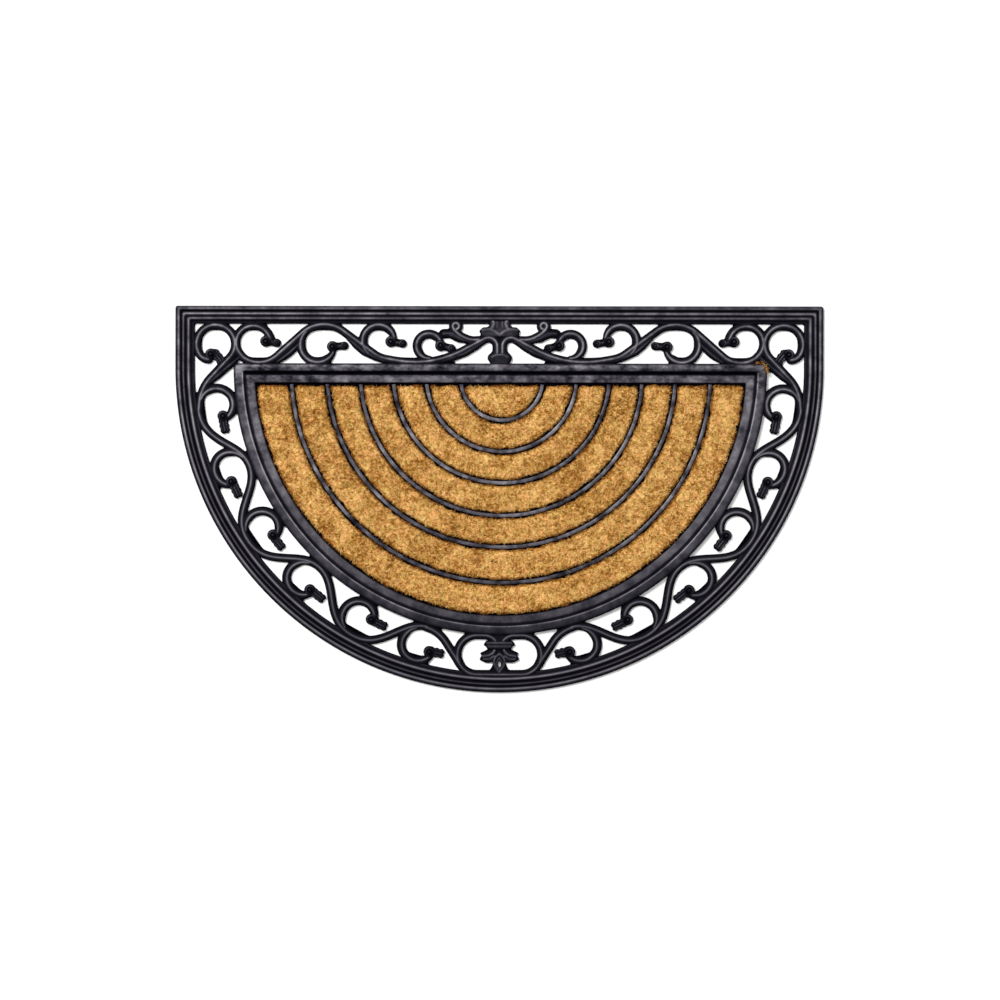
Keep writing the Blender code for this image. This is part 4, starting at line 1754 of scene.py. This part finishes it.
@dataclass
class NodeTree:
    """A Geometry Nodes tree, built with plain calls."""

    name: str
    tree: bpy.types.GeometryNodeTree = field(init=False)
    identifiers: dict[str, str] = field(init=False, default_factory=dict)

    def __post_init__(self) -> None:
        """Make the tree with its geometry input and output."""
        self.tree = bpy.data.node_groups.new(self.name, "GeometryNodeTree")
        for way in ("OUTPUT", "INPUT"):
            self.tree.interface.new_socket(
                "Geometry", in_out=way, socket_type="NodeSocketGeometry"
            )
        self.entry = self.tree.nodes.new("NodeGroupInput")

    def input(self, name: str, kind: str) -> bpy.types.NodeSocket:
        """Add a named input.

        Args:
            name: The input's name.
            kind: The socket's type, such as Float.

        Returns:
            The socket inside the tree.
        """
        socket_type = f"NodeSocket{kind}"
        made = self.tree.interface.new_socket(name, in_out="INPUT", socket_type=socket_type)
        self.identifiers[name] = made.identifier
        return find_socket(self.entry.outputs, made.identifier)

    def node(
        self,
        kind: str,
        sockets: dict[str, object],
        settings: dict[str, object] | None = None,
        output: str = "",
    ) -> bpy.types.NodeSocket:
        """Add a node.

        Args:
            kind: The node's type.
            sockets: A value or a socket for each input, by identifier or name.
            settings: The node's own settings, set first.
            output: The identifier or name of the output to return, or the first one.

        Returns:
            The chosen output.
        """
        node = add_node(self.tree, kind, settings or {}, sockets)
        return find_socket(node.outputs, output) if output else node.outputs[0]

    def end(self, geometry: bpy.types.NodeSocket, material: bpy.types.NodeSocket) -> None:
        """Realize the instances, set the material and leave the tree.

        Args:
            geometry: The geometry so far.
            material: The material input.
        """
        whole = self.node("GeometryNodeRealizeInstances", {"Geometry": geometry})
        dressed = self.node("GeometryNodeSetMaterial", {"Geometry": whole, "Material": material})
        leave = self.tree.nodes.new("NodeGroupOutput")
        self.tree.links.new(dressed, leave.inputs[0])

    def run(self, name: str, host: bpy.types.Mesh, values: dict[str, object]) -> bpy.types.Object:
        """Run the tree on a mesh and keep the result as a plain mesh.

        Args:
            name: The new piece's name.
            host: The mesh that the tree starts from.
            values: A value for each named input.

        Returns:
            The new piece.
        """
        piece = bpy.data.objects.new(name, host)
        bpy.context.scene.collection.objects.link(piece)
        modifier = piece.modifiers.new(self.name, "NODES")
        modifier.node_group = self.tree
        for key, value in values.items():
            modifier[self.identifiers[key]] = value
        graph = bpy.context.evaluated_depsgraph_get()
        mesh = bpy.data.meshes.new_from_object(piece.evaluated_get(graph))
        piece.modifiers.clear()
        piece.data = mesh
        mesh.name = name
        return piece


@dataclass
class Ribs:
    """The half-ring ribs between the coir fields."""

    finish: RubberFinish = RubberFinish(
        "rib_black_rubber", blotches=3.4, low_share=0.60, calm_share=1.0
    )
    end_line: float = 132.6
    foot_width: float = 4.8
    top_width: float = 2.7
    foot: float = 1.5
    top: float = 7.6
    edge_radius: float = 0.5
    wander: float = 0.5
    ripple_cells: float = 60.0
    # How strong the painted highlight on the ribs' tops is
    painted_light: float = 0.72
    lit_from: float = 0.3
    lit_run: float = 0.2
    sharp_angle: float = 50.0
    least_steps: int = 24
    steps_a_millimetre: float = 1.4

    def build(self) -> bpy.types.Object:
        """Make the ribs.

        Returns:
            All ribs as one piece.
        """
        finish = self.finish.build()
        tree = self._tree()
        ribs = []
        for index, rib in enumerate(RIBS):
            start = 180.0 - math.degrees(math.asin((self.end_line - rib.centre_y) / rib.radius))
            empty = bpy.data.meshes.new(f"rib_path_{index}")
            ribs.append(tree.run(f"rubber_rib_{index + 1}", empty, {
                "Radius": rib.radius * MM,
                "Centre": (rib.centre_x * MM, rib.centre_y * MM, (self.foot + self.top) / 2 * MM),
                "Start": math.radians(start),
                "Sweep": math.radians(540.0 - 2 * start),
                "Resolution": round(rib.radius * self.steps_a_millimetre) + self.least_steps,
                "Finish": finish,
            }))
        joined = bmesh.new()
        for rib in ribs:
            joined.from_mesh(rib.data)
        bmesh.ops.remove_doubles(joined, verts=joined.verts, dist=1e-6)
        bmesh.ops.recalc_face_normals(joined, faces=joined.faces)
        for vertex in joined.verts:
            vertex.co.x += RIB_SLANT * (RIB_SLANT_FROM * MM - vertex.co.y)
        mesh = bpy.data.meshes.new("rubber_ribs")
        joined.to_mesh(mesh)
        joined.free()
        for rib in ribs:
            bpy.data.objects.remove(rib, do_unlink=True)
        mesh.materials.append(finish)
        # Painted light: a painted highlight on each rib's top, near-black painted shade on its
        # sides.
        heights = np.array([vertex.co.z for vertex in mesh.vertices]) / MM
        lit_top = ramp(heights, self.top - self.lit_from, self.lit_run)
        store(mesh, PAINTED_LIGHT_ATTRIBUTE, lit_top * self.painted_light)
        finish_mesh(mesh, self.sharp_angle, recalculate=False)
        piece = bpy.data.objects.new("rubber_ribs", mesh)
        bpy.context.scene.collection.objects.link(piece)
        return piece

    def _tree(self) -> NodeTree:
        """Build the tree that sweeps one rib.

        Returns:
            The tree.
        """
        tree = NodeTree("half_ring_rib")
        radius = tree.input("Radius", "Float")
        centre = tree.input("Centre", "Vector")
        start = tree.input("Start", "Float")
        sweep = tree.input("Sweep", "Float")
        resolution = tree.input("Resolution", "Int")
        finish = tree.input("Finish", "Material")
        line = tree.node("GeometryNodeCurveArc", {
            "Resolution": resolution,
            "Radius": radius,
            "Start Angle": start,
            "Sweep Angle": sweep,
        }, {"mode": "RADIUS"})
        line = tree.node("GeometryNodeTransform", {"Geometry": line, "Translation": centre})
        ripple = tree.node(
            "ShaderNodeTexNoise", {"Scale": self.ripple_cells, "Detail": 1.0}, output="Color"
        )
        shift = tree.node("ShaderNodeVectorMath", {
            "Vector": ripple,
            "Vector_001": (self.wander * MM, self.wander * MM, 0.0),
            "Vector_002": (-self.wander * MM / 2, -self.wander * MM / 2, 0.0),
        }, {"operation": "MULTIPLY_ADD"})
        line = tree.node("GeometryNodeSetPosition", {"Geometry": line, "Offset": shift})
        section = tree.node("GeometryNodeCurvePrimitiveQuadrilateral", {
            "Height": (self.top - self.foot) * MM,
            "Bottom Width": self.foot_width * MM,
            "Top Width": self.top_width * MM,
            "Offset": 0.0,
        }, {"mode": "TRAPEZOID"})
        section = tree.node("GeometryNodeFilletCurve", {
            "Curve": section,
            "Radius": self.edge_radius * MM,
        })
        swept = tree.node("GeometryNodeCurveToMesh", {
            "Curve": line,
            "Profile Curve": section,
            "Fill Caps": True,
        })
        tree.end(swept, finish)
        return tree


@dataclass
class CoirField:
    """One finished coir field."""

    bed: bpy.types.Object
    fibres: bpy.types.Object
    width: float
    area: float


@dataclass
class Coir:
    """The coir: a bumpy bed in each field, and thousands of short fibres that lie on it."""

    outline: HalfRound
    gap: float = 3.9
    outer_radius: float = 283.6
    top_line: float = 130.8
    floor: float = 3.3
    shoulder: float = 5.6
    top: float = 9.0
    slope: float = 6.0
    pitch: float = 1.7
    corner: float = 1.8
    ragged: float = 1.4
    rag_cells: Pair = (4.2, 9.5)
    rag_seeds: tuple[int, int] = (20, 30)
    rag_share: float = 0.7
    bump_cells: Pair = (3.4, 10.0)
    bump_seeds: tuple[int, int] = (40, 50)
    bumps: Pair = (0.45, 0.4)
    known_depth: float = 10.0
    past_side: float = 4.0
    past_rim: float = 2.0
    past_bottom: float = 22.0
    tuft_low: Point = (294.0, 141.0)
    tuft_high: Point = (316.0, 163.0)
    tuft_pitch: float = 0.6
    tuft_floor: float = 8.4
    tuft_shoulder: float = 8.8
    tuft_crest: float = 9.2
    tuft_half: float = 1.6
    tuft_depth: float = 1.2
    tuft_seed: int = 5
    first_seed: int = 11
    density: float = 1.15e6
    needle_length: float = 4.0
    needle_radius: float = 0.38
    hair_radius: float = 0.19
    hair_share: float = 0.06
    hair_depth: float = 5.0
    hair_seed: int = 21
    least_upward: float = 0.15
    sway_depths: Pair = (0.4, 4.2)
    sways: Pair = (0.12, 1.0)
    lean_low: Triple = (-1.0, -1.0, 0.12)
    lean_high: Triple = (1.0, 1.0, 0.62)
    lean_seed: int = 3
    size_low: Triple = (0.75, 0.75, 0.5)
    size_high: Triple = (1.35, 1.35, 1.2)
    size_seed: int = 5
    tint_seed: int = 9

    def build(self) -> list[CoirField]:
        """Make the fields from the middle outwards.

        Returns:
            The fields.
        """
        bed_finish = CoirFinish("coir_bed", plain_tint=0.42).build()
        fibre_finish = CoirFinish("coir_fibre").build()
        tree = self._fibre_tree()
        fields = []
        for index in range(len(RIBS) + 1):
            name = "centre" if index == 0 else f"band_{index}"
            bed, width, area = self._bed(f"coir_bed_{name}", index)
            bed.data.materials.append(bed_finish)
            fibres = tree.run(f"coir_fibres_{name}", bed.data, {
                "Density": self.density,
                "Seed": self.first_seed + index,
                "Finish": fibre_finish,
            })
            fields.append(CoirField(bed, fibres, width, area))
        self._tuft(tree, fibre_finish)
        return fields

    def _tuft(self, tree: NodeTree, finish: bpy.types.Material) -> None:
        """Lay a few stray fibres across the inner rim's right corner.

        Args:
            tree: The tree that lays fibres.
            finish: The coir.
        """
        relief = Relief(
            self.tuft_low,
            self.tuft_high,
            self.tuft_pitch,
            floor=self.tuft_floor,
            shoulder=self.tuft_shoulder,
        )
        relief.bar(TUFT, self.tuft_half, self.tuft_crest)
        # The tuft's depth sets how much of the coir's painted edge shade it takes.
        relief.painted_light = np.full(relief.x.shape, self.tuft_depth)
        bed = relief.mesh("coir_tuft_bed", DEPTH_ATTRIBUTE)
        tuft = tree.run("coir_stray_tuft", bed.data, {
            "Density": self.density,
            "Seed": self.tuft_seed,
            "Finish": finish,
        })
        bpy.data.objects.remove(bed, do_unlink=True)
        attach(tuft, "root")
        report(tuft)

    def _depth(self, x: np.ndarray, y: np.ndarray, index: int) -> np.ndarray:
        """Measure how deep points are inside a field.

        Args:
            x: The points' X.
            y: The points' Y.
            index: The field's number from the middle.

        Returns:
            The depths, with the field's corners rounded.
        """
        sides = [self.top_line - y]
        upright = x - RIB_SLANT * (RIB_SLANT_FROM - y)
        if index < len(RIBS):
            rib = RIBS[index]
            away = np.hypot(upright - rib.centre_x, y - rib.centre_y)
            sides.append(rib.radius - self.gap - away)
        else:
            across = (x - INNER_SHIFT) / (1.0 - INNER_SQUEEZE / self.outer_radius)
            sides.append(self.outer_radius - np.hypot(across, y - self.outline.centre_y))
        if index > 0:
            rib = RIBS[index - 1]
            away = np.hypot(upright - rib.centre_x, y - rib.centre_y)
            sides.append(away - rib.radius - self.gap)
        depth = -sides[0]
        for side in sides[1:]:
            depth = blend_max(depth, -side, self.corner * 2)
        return -depth

    def _bed(self, name: str, index: int) -> tuple[bpy.types.Object, float, float]:
        """Make one field's bed.

        Args:
            name: The piece's name.
            index: The field's number from the middle.

        Returns:
            The bed, its flat width in metres and its flat area in square metres.
        """
        if index < len(RIBS):
            reach = RIBS[index].radius - self.gap + self.past_side
        else:
            reach = self.outer_radius + self.past_rim
        low = (-reach, self.top_line - reach - self.past_bottom)
        high = (reach, self.top_line + self.past_side)
        relief = Relief(low, high, self.pitch, floor=self.floor)
        x, y = relief.x, relief.y
        depth = self._depth(x, y, index)
        fine_rag = soft_noise(x, y, self.rag_cells[0], self.rag_seeds[0] + index)
        coarse_rag = soft_noise(x, y, self.rag_cells[1], self.rag_seeds[1] + index)
        relief.depth = depth + (fine_rag + coarse_rag * self.rag_share) * self.ragged
        fine = soft_noise(x, y, self.bump_cells[0], self.bump_seeds[0] + index) * self.bumps[0]
        coarse = soft_noise(x, y, self.bump_cells[1], self.bump_seeds[1] + index) * self.bumps[1]
        swell = 1.0 - (1.0 - ramp(relief.depth, 0.0, self.slope)) ** 2
        height = self.shoulder + (self.top - self.shoulder) * swell
        relief.height = height + (fine + coarse)
        # The kept numbers here are depths: they sway the fibres and set the coir's painted shade
        # near the field's edge.
        relief.painted_light = np.clip(depth, 0.0, self.known_depth)
        bed = relief.mesh(name, DEPTH_ATTRIBUTE)
        area = float((relief.depth > 0.0).sum()) * (self.pitch * MM) ** 2
        width = 2 * float(depth.max()) * MM
        return bed, width, area

    def _fibre_tree(self) -> NodeTree:
        """Build the tree that lays fibres on a bed.

        Returns:
            The tree.
        """
        tree = NodeTree("coir_fibres")
        ground = tree.entry.outputs[0]
        density = tree.input("Density", "Float")
        seed = tree.input("Seed", "Int")
        finish = tree.input("Finish", "Material")
        normal = tree.node("GeometryNodeInputNormal", {})
        lift = tree.node("ShaderNodeSeparateXYZ", {"Vector": normal}, output="Z")
        upper = tree.node(
            "FunctionNodeCompare",
            {"A": lift, "B": self.least_upward},
            {"operation": "GREATER_THAN"},
        )
        scatter = {"Mesh": ground, "Selection": upper, "Density": density, "Seed": seed}
        spots = tree.node("GeometryNodeDistributePointsOnFaces", scatter)
        inside = tree.node(
            "GeometryNodeInputNamedAttribute", {"Name": DEPTH_ATTRIBUTE}, {"data_type": "FLOAT"}
        )
        sway = tree.node("ShaderNodeMapRange", {
            "Value": inside,
            "From Min": self.sway_depths[0],
            "From Max": self.sway_depths[1],
            "To Min": self.sways[0],
            "To Max": self.sways[1],
        })
        lean = tree.node(
            "FunctionNodeRandomValue",
            {"Min": self.lean_low, "Max": self.lean_high, "Seed": self.lean_seed},
            {"data_type": "FLOAT_VECTOR"},
        )
        spread = tree.node("ShaderNodeCombineXYZ", {"X": sway, "Y": sway, "Z": 1.0})
        lean = tree.node(
            "ShaderNodeVectorMath",
            {"Vector": lean, "Vector_001": spread},
            {"operation": "MULTIPLY"},
        )
        turn = tree.node("FunctionNodeAlignRotationToVector", {"Vector": lean}, {"axis": "Z"})
        size = tree.node(
            "FunctionNodeRandomValue",
            {"Min": self.size_low, "Max": self.size_high, "Seed": self.size_seed},
            {"data_type": "FLOAT_VECTOR"},
        )
        placed = tree.node("GeometryNodeInstanceOnPoints", {
            "Points": spots,
            "Instance": self._fibres(tree),
            "Pick Instance": True,
            "Instance Index": self._choice(tree, inside),
            "Rotation": turn,
            "Scale": size,
        })
        tint = tree.node(
            "FunctionNodeRandomValue",
            {"Min_001": 0.0, "Max_001": 1.0, "Seed": self.tint_seed},
            {"data_type": "FLOAT"},
            "Value_001",
        )
        placed = tree.node(
            "GeometryNodeStoreNamedAttribute",
            {"Geometry": placed, "Name": TINT_ATTRIBUTE, "Value": tint},
            {"data_type": "FLOAT", "domain": "INSTANCE"},
        )
        tree.end(placed, finish)
        return tree

    def _fibres(self, tree: NodeTree) -> bpy.types.NodeSocket:
        """Make the two kinds of fibre: a straight needle and a bent hair.

        Args:
            tree: The tree.

        Returns:
            Both fibres as instances.
        """
        length = self.needle_length * MM
        needle = tree.node("GeometryNodeMeshCone", {
            "Vertices": 3,
            "Radius Top": 0.0,
            "Radius Bottom": self.needle_radius * MM,
            "Depth": length,
        })
        bend = tree.node("GeometryNodeCurveQuadraticBezier", {
            "Resolution": 3,
            "Start": (0.0, 0.0, 0.0),
            "Middle": (0.35 * length, 0.0, 0.7 * length),
            "End": (1.3 * length, 0.1 * length, 0.7 * length),
        })
        ring = tree.node("GeometryNodeCurvePrimitiveCircle", {
            "Resolution": 3,
            "Radius": self.hair_radius * MM,
        })
        hair = tree.node("GeometryNodeCurveToMesh", {
            "Curve": bend,
            "Profile Curve": ring,
            "Fill Caps": True,
        })
        both = tree.tree.nodes.new("GeometryNodeGeometryToInstance")
        for part in (hair, needle):
            tree.tree.links.new(part, both.inputs[0])
        return both.outputs[0]

    def _choice(self, tree: NodeTree, inside: bpy.types.NodeSocket) -> bpy.types.NodeSocket:
        """Choose a needle for most points, and a hair for some that are well inside the field.

        Args:
            tree: The tree.
            inside: How far inside the field a point is, in millimetres.

        Returns:
            True for a hair.
        """
        some = tree.node(
            "FunctionNodeRandomValue",
            {"Probability": self.hair_share, "Seed": self.hair_seed},
            {"data_type": "BOOLEAN"},
            "Value_003",
        )
        deep = tree.node(
            "FunctionNodeCompare",
            {"A": inside, "B": self.hair_depth},
            {"operation": "GREATER_THAN"},
        )
        return tree.node("FunctionNodeBooleanMath", {"Boolean": some, "Boolean_001": deep})


@dataclass(frozen=True)
class Lamp:
    """A soft square light that faces the mat: its place and side in metres, and its watts."""

    name: str
    place: Triple
    side: float
    power: float

    def build(self) -> None:
        """Add the light."""
        data = bpy.data.lights.new(self.name, "AREA")
        data.shape = "RECTANGLE"
        data.size = self.side
        data.size_y = self.side
        data.energy = self.power
        light = bpy.data.objects.new(self.name, data)
        light.location = self.place
        light.rotation_mode = "QUATERNION"
        light.rotation_quaternion = (-Vector(self.place)).to_track_quat("-Z", "Y")
        bpy.context.scene.collection.objects.link(light)


@dataclass(frozen=True)
class Studio:
    """The white floor, the soft lights and the camera straight above the mat, in metres."""

    lamps: tuple[Lamp, ...] = (
        Lamp("softbox", (0.0, 0.0, 3.0), 3.0, 45.0),
        Lamp("key", (-1.7, 1.7, 4.2), 1.4, 200.0),
    )
    surround: float = 0.22
    floor_half: float = 4.0
    floor_drop: float = 0.0002
    camera_height: float = 2.4
    focus_height: float = 0.006
    frame_width: float = 1.1558
    aim: Point = (0.00092, -0.0009)
    roll: float = 0.08
    sensor: float = 36.0

    def build(self) -> None:
        """Make the floor, the world, the lights and the camera."""
        self._floor()
        self._world()
        for lamp in self.lamps:
            lamp.build()
        data = bpy.data.cameras.new("camera")
        data.sensor_width = self.sensor
        distance = self.camera_height - self.focus_height
        data.lens = self.sensor * distance / self.frame_width
        camera = bpy.data.objects.new("camera", data)
        camera.location = (*self.aim, self.camera_height)
        camera.rotation_euler = (0.0, 0.0, math.radians(self.roll))
        bpy.context.scene.collection.objects.link(camera)
        bpy.context.scene.camera = camera
        bpy.context.scene.view_settings.view_transform = "Standard"

    def _floor(self) -> None:
        """Make the floor just under the mat."""
        signs = np.array([(-1, -1), (1, -1), (1, 1), (-1, 1)])
        corners = np.column_stack((signs * self.floor_half, np.full(4, -self.floor_drop))) / MM
        floor = make_piece("studio_floor", corners, [(0, 1, 2, 3)])
        floor.data.materials.append(FloorFinish().build())

    def _world(self) -> None:
        """Make an even, pale surrounding light."""
        world = bpy.data.worlds.new("studio")
        world.use_nodes = True
        sky = world.node_tree.nodes["Background"]
        sky.inputs["Color"].default_value = (1.0, 1.0, 1.0, 1.0)
        sky.inputs["Strength"].default_value = self.surround
        bpy.context.scene.world = world


@dataclass
class Doormat:
    """The whole mat: its rubber pieces and its coir fields."""

    outline: HalfRound = field(default_factory=HalfRound)

    def build(self) -> None:
        """Build every piece and tie it to the frame."""
        pieces = Rims(self.outline).build()
        pieces.append(ScrollBorder(self.outline).build())
        pieces.append(Ribs().build())
        for piece in pieces:
            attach(piece, "root")
            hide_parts(RUBBER_NODE)
            report(piece)
        for index, part in enumerate(Coir(self.outline).build()):
            node = "coir_centre" if index == 0 else f"coir_band_{index}"
            self._lay_coir(node, part)

    @staticmethod
    def _lay_coir(node: str, part: CoirField) -> None:
        """Tie one coir field to the frame, hide the solid that it stands for, and log it.

        Args:
            node: The solid that it stands for.
            part: The field.
        """
        for piece in (part.bed, part.fibres):
            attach(piece, "root")
            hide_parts(node)
            report(piece)
        part.area / part.width


def report(piece: bpy.types.Object) -> None:
    """Log a piece's name and its triangles."""
    triangles = sum(len(face.vertices) - 2 for face in piece.data.polygons)
    LOG.info("%s: %d triangles", piece.name, triangles)


def main() -> None:
    """Build the mat and its studio."""
    logging.basicConfig(level=logging.INFO, format="%(message)s")
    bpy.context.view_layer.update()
    Doormat().build()
    Studio().build()


if __name__ == "__main__":
    main()
